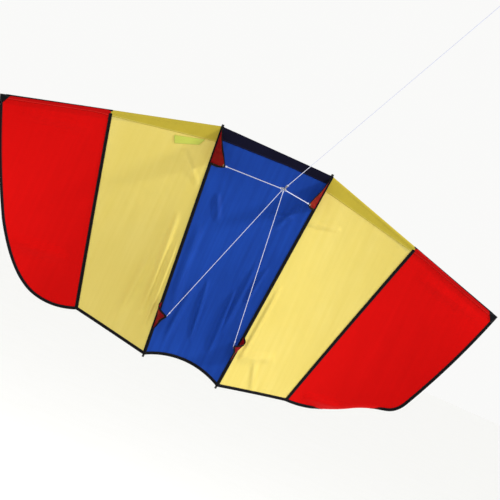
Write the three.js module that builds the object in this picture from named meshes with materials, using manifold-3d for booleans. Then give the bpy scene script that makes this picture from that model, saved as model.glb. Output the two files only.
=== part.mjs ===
// A five-panel kite with two longerons, four keels and a four-leg bridle, flying on its line.
// Millimetres, +Z up. The origin is the centre of the tow ring, where the bridle meets the line.
// X runs along the span, +Z towards the leading edge, and -Y towards the person on the line.
import * as THREE from 'three';
import { mergeVertices } from 'three/addons/utils/BufferGeometryUtils.js';
import Module from 'manifold-3d';

const wasm = await Module();
wasm.setup();

// ---- Sail plan, right half, measured from the middle of the leading edge ----
const CENTRE_TOP_HALF = 165;      // half width of the centre panel at the leading edge
const CENTRE_FOOT_HALF = 109;     // half width of the centre panel at the trailing edge
const CHORD = 653;                // leading edge to the foot of the centre seams
const CENTRE_SCALLOP = 27;        // rise of the centre trailing edge at its middle
const CENTRE_BILLOW = 10;         // depth that the wind puts into the centre panel
const TIP_X = 748;                // half span
const SWEEP = 166;                // how far the tip lies behind the corner
const SEAM_SHARE = 0.5043;        // place of the yellow and red seam along the wing's leading edge
const SEAM_FOOT_X = 319;
const SEAM_FOOT_BACK = 620;
const WING_TWIST = 0.00114;       // how fast the wing falls back, per mm of chord and mm of span
const SEAM_EASE = 8;              // the wing's cloth leaves the longeron gently over this distance

// ---- Tow point and flying line ----
const TOW_FRONT = 424;            // tow point in front of the sail
const TOW_BELOW = 103;            // tow point behind the leading edge
const LINE_ANGLE = THREE.MathUtils.degToRad(13.5);
const LINE_END = 1700;            // length of line modelled, from the tow ring
const LOOP_RADIUS = 14;

// ---- Cloth, tape and clearances ----
const CLOTH = 0.6;
const LAYER = 1.3;                // centre distance between two layers of cloth
const TAPE_HALF = 4.5;            // tape on each side of a seam line
const TAPE_HINGE_HALF = 3;        // tape on the wing's side of the line that the wing turns on
const TAPE_SHORT = 3;             // tapes stop this far above the binding
const BINDING_WIDTH = 8;
const BINDING_THICK = 1.4;
const GAP = 0.3;                  // gap between pieces that touch
const SEAM_GAP = 0.5;             // half the gap that the hinge line leaves between panels
const BAND_CENTRE = 30;           // depth of the leading edge band on the centre panel
const BAND_CORNER = 44;           // depth of the band where the wing starts
const BAND_END_SHARE = 0.806;     // where the band's taper would reach nothing
const BAND_LEAST = 13;
const LABEL = { x: 196, back: 62, width: 82, height: 31, share: 0.7 };

// ---- Rods and fittings ----
const SPAR_R = 3;
const LONGERON_R = 2;
const ROD_CLEAR = 0.3;
const SOCKET_WALL = 1.1;
const RING_WALL = 1.4;
const POCKET_CLEAR = 0.4;
const POCKET_WALL = 2;
const SLEEVE_WALL = 0.8;
const POCKET_SPLIT = 3;           // gap in the pocket tubes at the yellow and red seam
const ROD_BEHIND = 0.2;           // gap between the cloth and the longerons' fittings
const FLAP_BITE = 0.1;            // how far a pocket's tube is sewn into its front flap
const RING_TOP = 4.4;             // top of the wing fitting's ring above the spar's axis
const RING_HEIGHT = 7;
const SOCKET_LENGTH = 25;
const SOCKET_START = 7;           // distance of a socket's inner end from the corner
const SOCKET_FLOOR = 2.5;         // solid end of a socket, next to its ring
const NECK_R = 2.1;               // neck between the wing fitting's ring and its socket
const TIP_CAP_LENGTH = 15;
const TAIL_CAP_LENGTH = 16;
const CAP_FLOOR = 4;
const TAIL_STICKS_OUT = 7;        // tail cap past the foot of the seam

// ---- Keels ----
const KEEL_THICK = 0.8;
const UPPER_KEEL = { top: 5, foot: 107, tip: 106, height: 92, belly: 8 };
const LOWER_KEEL = { top: 500, foot: 582, tip: 538, height: 57, belly: 5 };
const EYELET_HOLE = 1.6;
const EYELET_BARREL = 2.4;
const EYELET_FLANGE = 3.8;
const EYELET_INSET = 10.5;        // eyelet centre from the keel's point

// ---- Bridle, tow ring, snap swivel ----
const UPPER_LEG_R = 1.0;
const LOWER_LEG_R = 0.75;
const LINE_R = 0.75;
const RING_R = 6;
const RING_WIRE_R = 1.2;
const UPPER_LEG_TURN = THREE.MathUtils.degToRad(36);
const LOWER_LEG_TURN = THREE.MathUtils.degToRad(12);
const CLIP_WIRE_R = 0.7;
const CLIP_HALF = 3;
const CLIP_LENGTH = 17;
const GATE_R = 0.6;
const GATE_PIVOT_R = 0.95;
const NOSE_LENGTH = 2;
const BARREL_R = 2.5;
const BARREL_LENGTH = 9;
const EYE_R = 3;
const KNOT_R = 1.8;
const KNOT_LENGTH = 5.5;

const ROUND = 14;                 // sides of a turned piece
const CORD_SIDES = 8;

const UP = new THREE.Vector3(0, 1, 0);
const v2 = (x, z) => new THREE.Vector2(x, z);
const v3 = (x, y, z) => new THREE.Vector3(x, y, z);

// ---- Plan lines: each has a point, a direction and a normal that offsets are measured along ----
function planLine(from, to, turn) {
  const dir = to.clone().sub(from).normalize();
  const normal = v2(-dir.y * turn, dir.x * turn);
  return { from, dir, normal, length: from.distanceTo(to) };
}

function along(line, distance, offset = 0) {
  return line.from.clone().addScaledVector(line.dir, distance).addScaledVector(line.normal, offset);
}

function meet(a, offsetA, b, offsetB) {
  const p = along(a, 0, offsetA);
  const q = along(b, 0, offsetB);
  const reach = q.sub(p).cross(b.dir) / a.dir.cross(b.dir);
  return p.addScaledVector(a.dir, reach);
}

const corner = v2(CENTRE_TOP_HALF, 0);
const foot = v2(CENTRE_FOOT_HALF, -CHORD);
const tip = v2(TIP_X, -SWEEP);
const seamTop = corner.clone().lerp(tip, SEAM_SHARE);
const seamFoot = v2(SEAM_FOOT_X, -SEAM_FOOT_BACK);
const hinge = planLine(corner, foot, 1);            // offsets outwards
const leading = planLine(corner, tip, -1);          // offsets down into the sail
const seam = planLine(seamTop, seamFoot, 1);        // offsets outwards
const trailing = planLine(foot, seamFoot, 1);       // offsets up into the sail

// ---- The sail surface: how far each point of the plan lies behind the leading edge ----
const tipOut = tip.clone().sub(corner).dot(hinge.normal);
const tipDown = tip.clone().sub(corner).dot(hinge.dir);

function sailDepth(x, z) {
  const from = v2(Math.abs(x), z).sub(corner);
  const out = from.dot(hinge.normal);
  const down = from.dot(hinge.dir);
  if (out > 0) {
    const fall = Math.max(down - (out * tipDown) / tipOut, 0);
    const eased = (out * out) / (out + SEAM_EASE);
    return WING_TWIST * eased * (1 - (out / tipOut) ** 2) * fall;
  }
  const half = CENTRE_TOP_HALF + (z * (CENTRE_TOP_HALF - CENTRE_FOOT_HALF)) / CHORD;
  const across = 1 - (x / half) ** 2;
  return CENTRE_BILLOW * across * Math.sin((Math.PI / 2) * Math.min(down / hinge.length, 1));
}

// The wing's outer edge, from the foot of the seam round the lower corner and up to the tip.
const wingEdge = new THREE.CurvePath();
const EDGE_LOW = v2(448, -629);
const EDGE_HIGH = v2(606, -473);
wingEdge.add(new THREE.QuadraticBezierCurve(seamFoot, v2(384, -649), EDGE_LOW));
wingEdge.add(new THREE.QuadraticBezierCurve(EDGE_LOW, v2(525, -603), EDGE_HIGH));
wingEdge.add(new THREE.QuadraticBezierCurve(EDGE_HIGH, v2(688, -325), tip));
const EDGE_STOP = 0.972;          // the binding stops just short of the tip cap
const EDGE_COLUMNS = 18;          // the panel and its binding are divided alike along the edge

function edgePoint(share, inset) {
  const point = wingEdge.getPointAt(share);
  const tangent = wingEdge.getTangentAt(share);
  const inward = v2(-tangent.y, tangent.x);
  if (share === 0) {
    return point.addScaledVector(seam.dir, -inset / Math.abs(inward.dot(seam.dir)));
  }
  return point.addScaledVector(inward, inset);
}

// ---- Solids ----
// A sheet that follows the sail: plan(u, v) gives x and z, u runs outwards and v down.
// Its back repeats the front's triangles, so that its thickness is the same all over.
function sheet(columns, rows, thick, layer, side, plan) {
  const plane = new THREE.PlaneGeometry(1, 1, columns, rows);
  const { position } = plane.attributes;
  const front = [];
  const back = [];
  for (let i = 0; i < position.count; i += 1) {
    const p = plan(side * position.getX(i) + 0.5, 0.5 - position.getY(i));
    const y = sailDepth(p.x, p.y) + layer;
    front.push(side * p.x, y - thick / 2, p.y);
    back.push(side * p.x, y + thick / 2, p.y);
  }
  const faces = [...plane.index.array];
  const behind = (i) => i + position.count;
  const reverse = faces.map(behind).reverse();
  const rim = sheetRim(columns, rows);
  const walls = rim.flatMap((a, i) => {
    const b = rim[(i + 1) % rim.length];
    return [b, a, behind(a), b, behind(a), behind(b)];
  });
  const geometry = new THREE.BufferGeometry();
  geometry.setAttribute('position', new THREE.Float32BufferAttribute([...front, ...back], 3));
  geometry.setIndex([...faces, ...reverse, ...walls]);
  return geometry;
}

// The corner numbers round a grid's edge, anticlockwise as the front is seen.
function sheetRim(columns, rows) {
  const across = columns + 1;
  const rim = [];
  for (let i = 0; i < columns; i += 1) {
    rim.push(rows * across + i);
  }
  for (let i = rows; i > 0; i -= 1) {
    rim.push(i * across + columns);
  }
  for (let i = columns; i > 0; i -= 1) {
    rim.push(i);
  }
  for (let i = 0; i < rows; i += 1) {
    rim.push(i * across);
  }
  return rim;
}

// A sheet with four corners, given as top inner, top outer, foot inner and foot outer.
function quad(corners) {
  return (u, v) => {
    const top = corners[0].clone().lerp(corners[1], u);
    const low = corners[2].clone().lerp(corners[3], u);
    return top.lerp(low, v);
  };
}

function turned(points) {
  return new THREE.LatheGeometry(points.map(([r, h]) => v2(r, h)), ROUND);
}

function rod(radius, length) {
  return turned([[0, 0], [radius, 0], [radius, length], [0, length]]);
}

function tube(inner, outer, length) {
  return turned([[inner, 0], [outer, 0], [outer, length], [inner, length], [inner, 0]]);
}

function cap(inner, outer, length, floor) {
  return turned([[0, length - floor], [inner, length - floor], [inner, 0], [outer, 0],
    [outer, length], [0, length]]);
}

function placement(origin, axis) {
  const turn = new THREE.Quaternion().setFromUnitVectors(UP, axis);
  return new THREE.Matrix4().compose(origin, turn, v3(1, 1, 1));
}

function solid(geometry) {
  const bare = geometry.clone();
  bare.deleteAttribute('normal');
  bare.deleteAttribute('uv');
  const merged = mergeVertices(bare);
  const vertProperties = new Float32Array(merged.attributes.position.array);
  const triVerts = new Uint32Array(merged.index.array);
  return new wasm.Manifold(new wasm.Mesh({ numProp: 3, vertProperties, triVerts }));
}

function combine(added, removed = []) {
  let body = solid(added[0]);
  for (const piece of added.slice(1)) {
    body = body.add(solid(piece));
  }
  for (const piece of removed) {
    body = body.subtract(solid(piece));
  }
  const mesh = body.getMesh();
  const geometry = new THREE.BufferGeometry();
  geometry.setAttribute('position', new THREE.BufferAttribute(new Float32Array(mesh.vertProperties), 3));
  geometry.setIndex(new THREE.BufferAttribute(new Uint32Array(mesh.triVerts), 1));
  geometry.computeVertexNormals();
  return geometry;
}

function cord(points, radius, steps) {
  const section = new THREE.Shape();
  for (let i = 0; i < CORD_SIDES; i += 1) {
    const angle = (2 * Math.PI * i) / CORD_SIDES;
    const corner2 = [radius * Math.cos(angle), radius * Math.sin(angle)];
    if (i === 0) {
      section.moveTo(...corner2);
    } else {
      section.lineTo(...corner2);
    }
  }
  const route = points.length === 2 ? new THREE.LineCurve3(...points) : new THREE.CatmullRomCurve3(points);
  return new THREE.ExtrudeGeometry(section, { steps, extrudePath: route, bevelEnabled: false });
}

// ---- Materials ----
const paint = (color, roughness, metalness = 0) =>
  new THREE.MeshStandardMaterial({ color, roughness, metalness });
const blueCloth = paint(0x1c48a7, 0.7);
const navyBand = paint(0x0d0d2b, 0.75);
const yellowCloth = paint(0xe8db7d, 0.7);
const yellowBand = paint(0xb5a239, 0.75);
const redCloth = paint(0xe20807, 0.7);
const redBand = paint(0xa20000, 0.75);
const darkRedCloth = paint(0x7d000b, 0.75);
const blackTape = paint(0x0b0b0e, 0.8);
const limeCloth = paint(0xc2cc50, 0.7);
const carbon = paint(0x17181a, 0.4);
const vinyl = paint(0x101012, 0.5);
const nickel = paint(0xc9cbd0, 0.3, 1);
const whiteCord = paint(0xe6e9f5, 0.7);

// ---- Scene graph ----
const kite = new THREE.Group();
const sail = new THREE.Group();
const tow = new THREE.Group();
sail.position.set(0, TOW_FRONT, TOW_BELOW);
tow.rotation.x = -LINE_ANGLE;     // its -Y runs along the flying line
kite.add(sail, tow);

function add(group, name, geometry, material, origin, axis) {
  const mesh = new THREE.Mesh(geometry, material);
  mesh.name = name;
  if (origin) {
    mesh.applyMatrix4(placement(origin, axis));
  }
  group.add(mesh);
}

const SIDES = [['left', -1], ['right', 1]];
const lift = (p, side, y) => v3(side * p.x, y, p.y);
const direction = (d, side) => v3(side * d.x, 0, d.y);

const ringInner = LONGERON_R + ROD_CLEAR;
const ringOuter = ringInner + RING_WALL;
const longeronBehind = ringOuter + CLOTH / 2 + ROD_BEHIND;
const socketInner = SPAR_R + ROD_CLEAR;
const socketOuter = socketInner + SOCKET_WALL;
const pocketInner = SPAR_R + POCKET_CLEAR;
const pocketOuter = pocketInner + POCKET_WALL;
const sparDown = pocketOuter;                        // spar axis below the leading edge
const sparBehind = pocketOuter - LAYER + FLAP_BITE;  // spar axis behind the sail
const ringTop = sparDown - RING_TOP;                 // ring's top below the leading edge
const clothTop = 2 * pocketOuter + 0.7;              // top edge of the panels, under the pocket tube
const socketEnd = SOCKET_START + SOCKET_LENGTH;
const pocketStart = socketEnd + 2;
const seamAt = leading.length * SEAM_SHARE;
const tipCapAt = leading.length - TIP_CAP_LENGTH;
// How far the seam drifts along the leading edge over the height of a pocket's tube.
const seamDrift = (2 * pocketOuter * seam.dir.dot(leading.dir)) / seam.dir.dot(leading.normal);
const FLAP_TOP = 0.6;

// ---- Centre panel and its leading edge pocket ----
function centrePlan(zTop, zFoot) {
  return (u, v) => {
    const z = zTop(u) + (zFoot(u) - zTop(u)) * v;
    const half = CENTRE_TOP_HALF + (z * (CENTRE_TOP_HALF - CENTRE_FOOT_HALF)) / CHORD - SEAM_GAP;
    return v2((2 * u - 1) * half, z);
  };
}

const centreFoot = (inset) => (u) => inset - CHORD + CENTRE_SCALLOP * (1 - (2 * u - 1) ** 2);
const level = (z) => () => z;

function addCentre() {
  const panel = centrePlan(level(-clothTop), centreFoot(BINDING_WIDTH + GAP));
  add(sail, 'panel_centre', sheet(8, 8, CLOTH, 0, 1, panel), blueCloth);
  const hem = centrePlan(centreFoot(BINDING_WIDTH), centreFoot(0));
  add(sail, 'binding_centre', sheet(8, 1, BINDING_THICK, 0, 1, hem), blackTape);

  const start = CENTRE_TOP_HALF - pocketStart;
  const pocket = tube(pocketInner, pocketOuter, 2 * start);
  pocket.applyMatrix4(placement(v3(-start, sparBehind, -sparDown), v3(1, 0, 0)));
  const flap = sheet(8, 1, CLOTH, -LAYER, 1, centrePlan(level(-FLAP_TOP), level(-BAND_CENTRE)));
  add(sail, 'pocket_centre', combine([pocket, flap]), navyBand);

  const sparHalf = CENTRE_TOP_HALF - SOCKET_START - SOCKET_FLOOR - ROD_CLEAR;
  add(sail, 'spar_centre', rod(SPAR_R, 2 * sparHalf), carbon,
    v3(-sparHalf, sparBehind, -sparDown), v3(1, 0, 0));
}

// ---- Longeron, its sleeve, caps and the hub that joins it to the centre spar ----
const hubTop = ringTop + RING_HEIGHT + 2 * GAP;
const HUB_BLOCK_HALF = 2.6;

function cornerHub(side) {
  const axis = direction(hinge.dir, side);
  const inwards = v3(-side, 0, 0);
  const at = (x, z) => v3(side * x, sparBehind, z);
  const ring = rod(ringOuter, RING_HEIGHT)
    .applyMatrix4(placement(lift(along(hinge, hubTop), side, longeronBehind), axis));
  const socketX = CENTRE_TOP_HALF - SOCKET_START;
  const socket = rod(socketOuter, SOCKET_LENGTH).applyMatrix4(placement(at(socketX, -sparDown), inwards));
  const blockLength = SOCKET_START + SOCKET_LENGTH / 2;
  const block = new THREE.BoxGeometry(blockLength, 2 * HUB_BLOCK_HALF, RING_HEIGHT - 2 * GAP);
  block.translate(side * (CENTRE_TOP_HALF - 2 - blockLength / 2), longeronBehind, -hubTop - RING_HEIGHT / 2);
  const longeronBore = rod(ringInner, 2 * RING_HEIGHT)
    .applyMatrix4(placement(lift(along(hinge, hubTop - RING_HEIGHT / 2), side, longeronBehind), axis));
  const sparBore = rod(socketInner, SOCKET_LENGTH)
    .applyMatrix4(placement(at(socketX - SOCKET_FLOOR, -sparDown), inwards));
  return combine([ring, block, socket], [longeronBore, sparBore]);
}

function addLongeron(name, side) {
  const axis = direction(hinge.dir, side);
  const on = (distance) => lift(along(hinge, distance), side, longeronBehind);
  const capEnd = hinge.length + TAIL_STICKS_OUT;
  const rodEnd = capEnd - CAP_FLOOR - ROD_CLEAR;
  const sleeveTop = hubTop + RING_HEIGHT + 1;
  const sleeveEnd = capEnd - TAIL_CAP_LENGTH - 2;
  const sleeveInner = LONGERON_R + POCKET_CLEAR;
  const topCapLength = 6;
  const topCapFloor = 3;
  const rodTop = topCapLength - topCapFloor - ringTop;
  add(sail, `longeron_${name}`, rod(LONGERON_R, rodEnd + rodTop), carbon, on(-rodTop), axis);
  add(sail, `longeron_sleeve_${name}`, tube(sleeveInner, sleeveInner + SLEEVE_WALL, sleeveEnd - sleeveTop),
    blackTape, on(sleeveTop), axis);
  add(sail, `longeron_top_cap_${name}`, cap(ringInner, ringOuter, topCapLength, topCapFloor), vinyl,
    on(ringTop - GAP), axis.clone().negate());
  add(sail, `longeron_tail_cap_${name}`, cap(ringInner, ringOuter - 2 * GAP, TAIL_CAP_LENGTH, CAP_FLOOR), vinyl,
    on(capEnd - TAIL_CAP_LENGTH), axis);
  add(sail, `corner_hub_${name}`, cornerHub(side), vinyl);
  addSeamTape(`seam_tape_inner_${name}`, side, hinge, -TAPE_HALF, TAPE_HINGE_HALF, BAND_CORNER,
    TAPE_HINGE_HALF);
}

// A tape over a seam line, from under the leading edge band down to the binding, which it
// meets at hemOffset from the line.
function addSeamTape(name, side, line, innerOffset, outerOffset, band, hemOffset) {
  const top = band + 2;
  const hem = meet(trailing, BINDING_WIDTH + GAP, line, hemOffset).sub(line.from).dot(line.dir);
  const end = Math.min(line.length - BINDING_WIDTH - TAPE_SHORT, hem);
  const plan = quad([along(line, top, innerOffset), along(line, top, outerOffset),
    along(line, end, innerOffset), along(line, end, outerOffset)]);
  add(sail, name, sheet(1, 12, CLOTH, -LAYER, side, plan), blackTape);
}

// ---- Wing: panels, pocket, tapes, spar, its turning fitting and the tip cap ----
function bandDepth(distance) {
  const taper = 1 - distance / (leading.length * BAND_END_SHARE);
  return Math.max(BAND_CORNER * taper, BAND_LEAST);
}

function pocketPiece(side, start, end, flapStart, flapEnd) {
  const inner = tube(pocketInner, pocketOuter, end - start);
  inner.applyMatrix4(placement(lift(along(leading, start, sparDown), side, sparBehind),
    direction(leading.dir, side)));
  const plan = (u, v) => {
    const top = flapStart(FLAP_TOP).lerp(flapEnd(FLAP_TOP), u);
    const distance = top.clone().sub(leading.from).dot(leading.dir);
    const low = flapStart(bandDepth(distance)).lerp(flapEnd(bandDepth(distance)), u);
    return top.lerp(low, v);
  };
  return combine([inner, sheet(12, 2, CLOTH, -LAYER, side, plan)]);
}

function wingFitting(side) {
  const axis = direction(hinge.dir, side);
  const out = direction(leading.dir, side);
  const onSpar = (distance) => lift(along(leading, distance, sparDown), side, sparBehind);
  const ring = rod(ringOuter, RING_HEIGHT)
    .applyMatrix4(placement(lift(along(hinge, ringTop), side, longeronBehind), axis));
  const neck = rod(NECK_R, SOCKET_START).applyMatrix4(placement(onSpar(2), out));
  const socket = rod(socketOuter, SOCKET_LENGTH).applyMatrix4(placement(onSpar(SOCKET_START), out));
  const longeronBore = rod(ringInner, 2 * RING_HEIGHT)
    .applyMatrix4(placement(lift(along(hinge, ringTop - RING_HEIGHT / 2), side, longeronBehind), axis));
  const sparBore = rod(socketInner, SOCKET_LENGTH)
    .applyMatrix4(placement(onSpar(SOCKET_START + SOCKET_FLOOR), out));
  return combine([ring, neck, socket], [longeronBore, sparBore]);
}

function addWing(name, side) {
  const inset = BINDING_WIDTH + GAP;
  const half = GAP / 2;
  const inner = quad([meet(leading, clothTop, hinge, SEAM_GAP), meet(leading, clothTop, seam, -half),
    meet(trailing, inset, hinge, SEAM_GAP), meet(trailing, inset, seam, -half)]);
  add(sail, `panel_inner_${name}`, sheet(12, 12, CLOTH, 0, side, inner), yellowCloth);

  const outerTop = meet(leading, clothTop, seam, half);
  const outerTopEnd = along(leading, leading.length - 2 * TIP_CAP_LENGTH, clothTop);
  const outer = (u, v) => {
    const top = outerTop.clone().lerp(outerTopEnd, u);
    const low = edgePoint(u * EDGE_STOP, inset);
    if (u === 0) {
      low.addScaledVector(seam.normal, half);
    }
    return top.lerp(low, v);
  };
  add(sail, `panel_outer_${name}`, sheet(EDGE_COLUMNS, 10, CLOTH, 0, side, outer), redCloth);

  const innerHem = quad([meet(trailing, BINDING_WIDTH, hinge, SEAM_GAP),
    meet(trailing, BINDING_WIDTH, seam, -half), meet(trailing, 0, hinge, SEAM_GAP),
    meet(trailing, 0, seam, -half)]);
  add(sail, `binding_inner_${name}`, sheet(12, 1, BINDING_THICK, 0, side, innerHem), blackTape);
  const outerHem = (u, v) => {
    const point = edgePoint(u * EDGE_STOP, BINDING_WIDTH * (1 - v));
    return u === 0 ? point.addScaledVector(seam.normal, half) : point;
  };
  add(sail, `binding_tip_${name}`, sheet(EDGE_COLUMNS, 1, BINDING_THICK, 0, side, outerHem), blackTape);
  addSeamTape(`seam_tape_outer_${name}`, side, seam, -TAPE_HALF, TAPE_HALF, bandDepth(seamAt) + 2,
    -TAPE_HALF);

  const pocketEnd = tipCapAt - 2;
  const innerPocket = pocketPiece(side, pocketStart, seamAt - half + Math.min(0, seamDrift),
    (e) => meet(leading, e, hinge, SEAM_GAP), (e) => meet(leading, e, seam, -half));
  add(sail, `pocket_inner_${name}`, innerPocket, yellowBand);
  const outerPocket = pocketPiece(side, seamAt + half + Math.max(POCKET_SPLIT, seamDrift + GAP), pocketEnd,
    (e) => meet(leading, e, seam, half), (e) => along(leading, pocketEnd, e));
  add(sail, `pocket_outer_${name}`, outerPocket, redBand);

  const out = direction(leading.dir, side);
  const sparStart = SOCKET_START + SOCKET_FLOOR + ROD_CLEAR;
  const sparEnd = leading.length - CAP_FLOOR - ROD_CLEAR;
  add(sail, `spar_${name}`, rod(SPAR_R, sparEnd - sparStart), carbon,
    lift(along(leading, sparStart, sparDown), side, sparBehind), out);
  add(sail, `wing_fitting_${name}`, wingFitting(side), vinyl);
  add(sail, `tip_cap_${name}`, cap(socketInner, socketOuter, TIP_CAP_LENGTH, CAP_FLOOR), vinyl,
    lift(along(leading, tipCapAt, sparDown), side, sparBehind), out);
}

function addLabel(side) {
  const slope = leading.dir.y / leading.dir.x;
  const at = (u, v) => v2(LABEL.x + LABEL.width * u,
    -LABEL.back + slope * LABEL.width * u - LABEL.height * LABEL.share * v);
  add(sail, 'care_label', sheet(6, 2, CLOTH, -LAYER, side, at), limeCloth);
}

// ---- Keels: flat cloth triangles sewn to the long seams and pointing at the tow ring ----
const towPoint = v3(0, -TOW_FRONT, -TOW_BELOW);

function keelFrame(side) {
  const base = lift(corner, side, -LAYER - CLOTH / 2 - GAP - KEEL_THICK / 4);
  const down = direction(hinge.dir, side);
  const towards = towPoint.clone().sub(base);
  towards.addScaledVector(down, -towards.dot(down)).normalize();
  const normal = down.clone().cross(towards);
  return { base, down, towards, normal };
}

function eyeletPlace(keel) {
  const point = v2(keel.tip, keel.height);
  const toTop = v2(keel.top, 0).sub(point).normalize();
  const toFoot = v2(keel.foot, 0).sub(point).normalize();
  return point.addScaledVector(toTop.add(toFoot).normalize(), EYELET_INSET);
}

function keelSheet(keel, frame) {
  const shape = new THREE.Shape();
  shape.moveTo(keel.top, 0);
  shape.lineTo(keel.foot, 0);
  shape.quadraticCurveTo((keel.foot + keel.tip) / 2 + keel.belly, keel.height / 2, keel.tip, keel.height);
  shape.closePath();
  const hole = eyeletPlace(keel);
  const opening = new THREE.Path();
  opening.absarc(hole.x, hole.y, EYELET_BARREL + GAP, 0, 2 * Math.PI, true);
  shape.holes.push(opening);
  const geometry = new THREE.ExtrudeGeometry(shape,
    { depth: KEEL_THICK, bevelEnabled: false, curveSegments: 10 });
  geometry.translate(0, 0, -KEEL_THICK / 2);
  const basis = new THREE.Matrix4().makeBasis(frame.down, frame.towards, frame.normal);
  geometry.applyMatrix4(basis);
  return geometry.translate(...frame.base.toArray());
}

const flangeTop = KEEL_THICK / 2 + GAP + 0.5;

function eyelet() {
  const inner = KEEL_THICK / 2 + GAP;
  return turned([[EYELET_HOLE, -flangeTop], [EYELET_FLANGE, -flangeTop], [EYELET_FLANGE, -inner],
    [EYELET_BARREL, -inner], [EYELET_BARREL, inner], [EYELET_FLANGE, inner],
    [EYELET_FLANGE, flangeTop], [EYELET_HOLE, flangeTop], [EYELET_HOLE, -flangeTop]]);
}

function ringPoint(side, turn, radius) {
  const point = v3(side * Math.sin(turn), Math.cos(turn), 0).multiplyScalar(radius);
  return point.applyAxisAngle(v3(1, 0, 0), -LINE_ANGLE);
}

function addKeel(level2, name, side, keel, legRadius, turn) {
  const frame = keelFrame(side);
  const spot = eyeletPlace(keel);
  const centre = frame.base.clone().addScaledVector(frame.down, spot.x).addScaledVector(frame.towards, spot.y);
  add(sail, `keel_${level2}_${name}`, keelSheet(keel, frame), darkRedCloth);
  add(sail, `keel_eyelet_${level2}_${name}`, eyelet(), nickel, centre, frame.normal);

  const inwards = frame.normal.clone().multiplyScalar(Math.sign(-side * frame.normal.x));
  const start = centre.clone().addScaledVector(inwards, flangeTop + 2 * GAP + legRadius);
  start.add(sail.position);
  const ringSpot = ringPoint(side, turn, RING_R);
  const back = start.clone().sub(ringSpot).normalize();
  const end = ringSpot.addScaledVector(back, RING_WIRE_R + 2 * GAP);
  add(kite, `bridle_${level2}_${name}`, cord([start, end], legRadius, 8), whiteCord);
}

// ---- Tow ring, snap swivel and flying line, along the tow group's -Y ----
const LINE = v3(0, -1, 0);
const onLine = (distance, height = 0) => v3(0, -distance, height);
const bend = RING_R - RING_WIRE_R - CLIP_WIRE_R - GAP;
const gateTip = RING_R + NOSE_LENGTH + 2 * GAP + CLIP_WIRE_R;
const gatePivot = bend + CLIP_LENGTH;
const clipRear = gatePivot + CLIP_HALF;
const barrelAt = clipRear + 1.5;
const barrelEnd = barrelAt + BARREL_LENGTH;
const eyeAt = barrelEnd + 2 + EYE_R;
const knotAt = eyeAt + EYE_R + CLIP_WIRE_R + GAP;
const lineAt = knotAt + KNOT_LENGTH + GAP;

function snapClip() {
  const hook = cord([onLine(RING_R + NOSE_LENGTH, CLIP_HALF), onLine(RING_R, CLIP_HALF),
    onLine(bend, 0), onLine(RING_R, -CLIP_HALF), onLine(RING_R + NOSE_LENGTH, -CLIP_HALF),
    onLine(gatePivot - 2, -CLIP_HALF), onLine(gatePivot + 1, -CLIP_HALF * 0.75), onLine(clipRear, 0),
    onLine(clipRear + 5, 0)], CLIP_WIRE_R, 26);
  const lugEnd = onLine(gatePivot + 1.2, CLIP_HALF - 2.0);
  const reach = lugEnd.clone().sub(onLine(clipRear, 0));
  const lug = rod(CLIP_WIRE_R, reach.length())
    .applyMatrix4(placement(onLine(clipRear, 0), reach.clone().normalize()));
  return combine([hook, lug]);
}

function snapGate() {
  const arm = rod(GATE_R, gatePivot - gateTip).applyMatrix4(placement(onLine(gateTip, CLIP_HALF), LINE));
  const ball = new THREE.SphereGeometry(GATE_PIVOT_R, 8, 6).translate(0, -gatePivot, CLIP_HALF);
  return combine([arm, ball]);
}

function swivelEye() {
  const shank = rod(CLIP_WIRE_R, 5).applyMatrix4(placement(onLine(barrelEnd - 2.5), LINE));
  const eye = new THREE.TorusGeometry(EYE_R, CLIP_WIRE_R, 6, 16).translate(0, -eyeAt, 0);
  return combine([shank, eye]);
}

function knot(radius, length) {
  return turned([[0, 0], [radius * 0.6, 0], [radius, length * 0.3], [radius, length * 0.7],
    [radius * 0.6, length], [0, length]]);
}

function addTow() {
  add(tow, 'tow_ring', new THREE.TorusGeometry(RING_R, RING_WIRE_R, 8, 24), nickel);
  add(tow, 'snap_clip', snapClip(), nickel);
  add(tow, 'snap_gate', snapGate(), nickel);
  add(tow, 'swivel_barrel', tube(CLIP_WIRE_R + GAP, BARREL_R, BARREL_LENGTH), nickel, onLine(barrelAt), LINE);
  add(tow, 'swivel_eye', swivelEye(), nickel);
  add(tow, 'line_knot', knot(KNOT_R, KNOT_LENGTH), whiteCord, onLine(knotAt), LINE);
  add(tow, 'flying_line', cord([onLine(lineAt), onLine(LINE_END)], LINE_R, 16), whiteCord);
  add(tow, 'line_end_knot', knot(KNOT_R, KNOT_LENGTH), whiteCord, onLine(LINE_END + GAP), LINE);
  const loopAt = LINE_END + 2 * GAP + KNOT_LENGTH + LINE_R + LOOP_RADIUS;
  const loop = new THREE.TorusGeometry(LOOP_RADIUS, LINE_R, 6, 24);
  add(tow, 'line_end_loop', loop.translate(0, -loopAt, 0), whiteCord);
}

addCentre();
for (const [name, side] of SIDES) {
  addLongeron(name, side);
  addWing(name, side);
  addKeel('upper', name, side, UPPER_KEEL, UPPER_LEG_R, UPPER_LEG_TURN);
  addKeel('lower', name, side, LOWER_KEEL, LOWER_LEG_R, LOWER_LEG_TURN);
}
addLabel(-1);
addTow();

export default kite;
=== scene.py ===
"""A wide five-panel kite with two longerons, four keels and a four-leg bridle, in flight.

Metres, +Z up, origin at the centre of the tow ring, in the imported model's own frame.
"""
import math

import bmesh
import bpy
from mathutils import Matrix, Vector, noise


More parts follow.
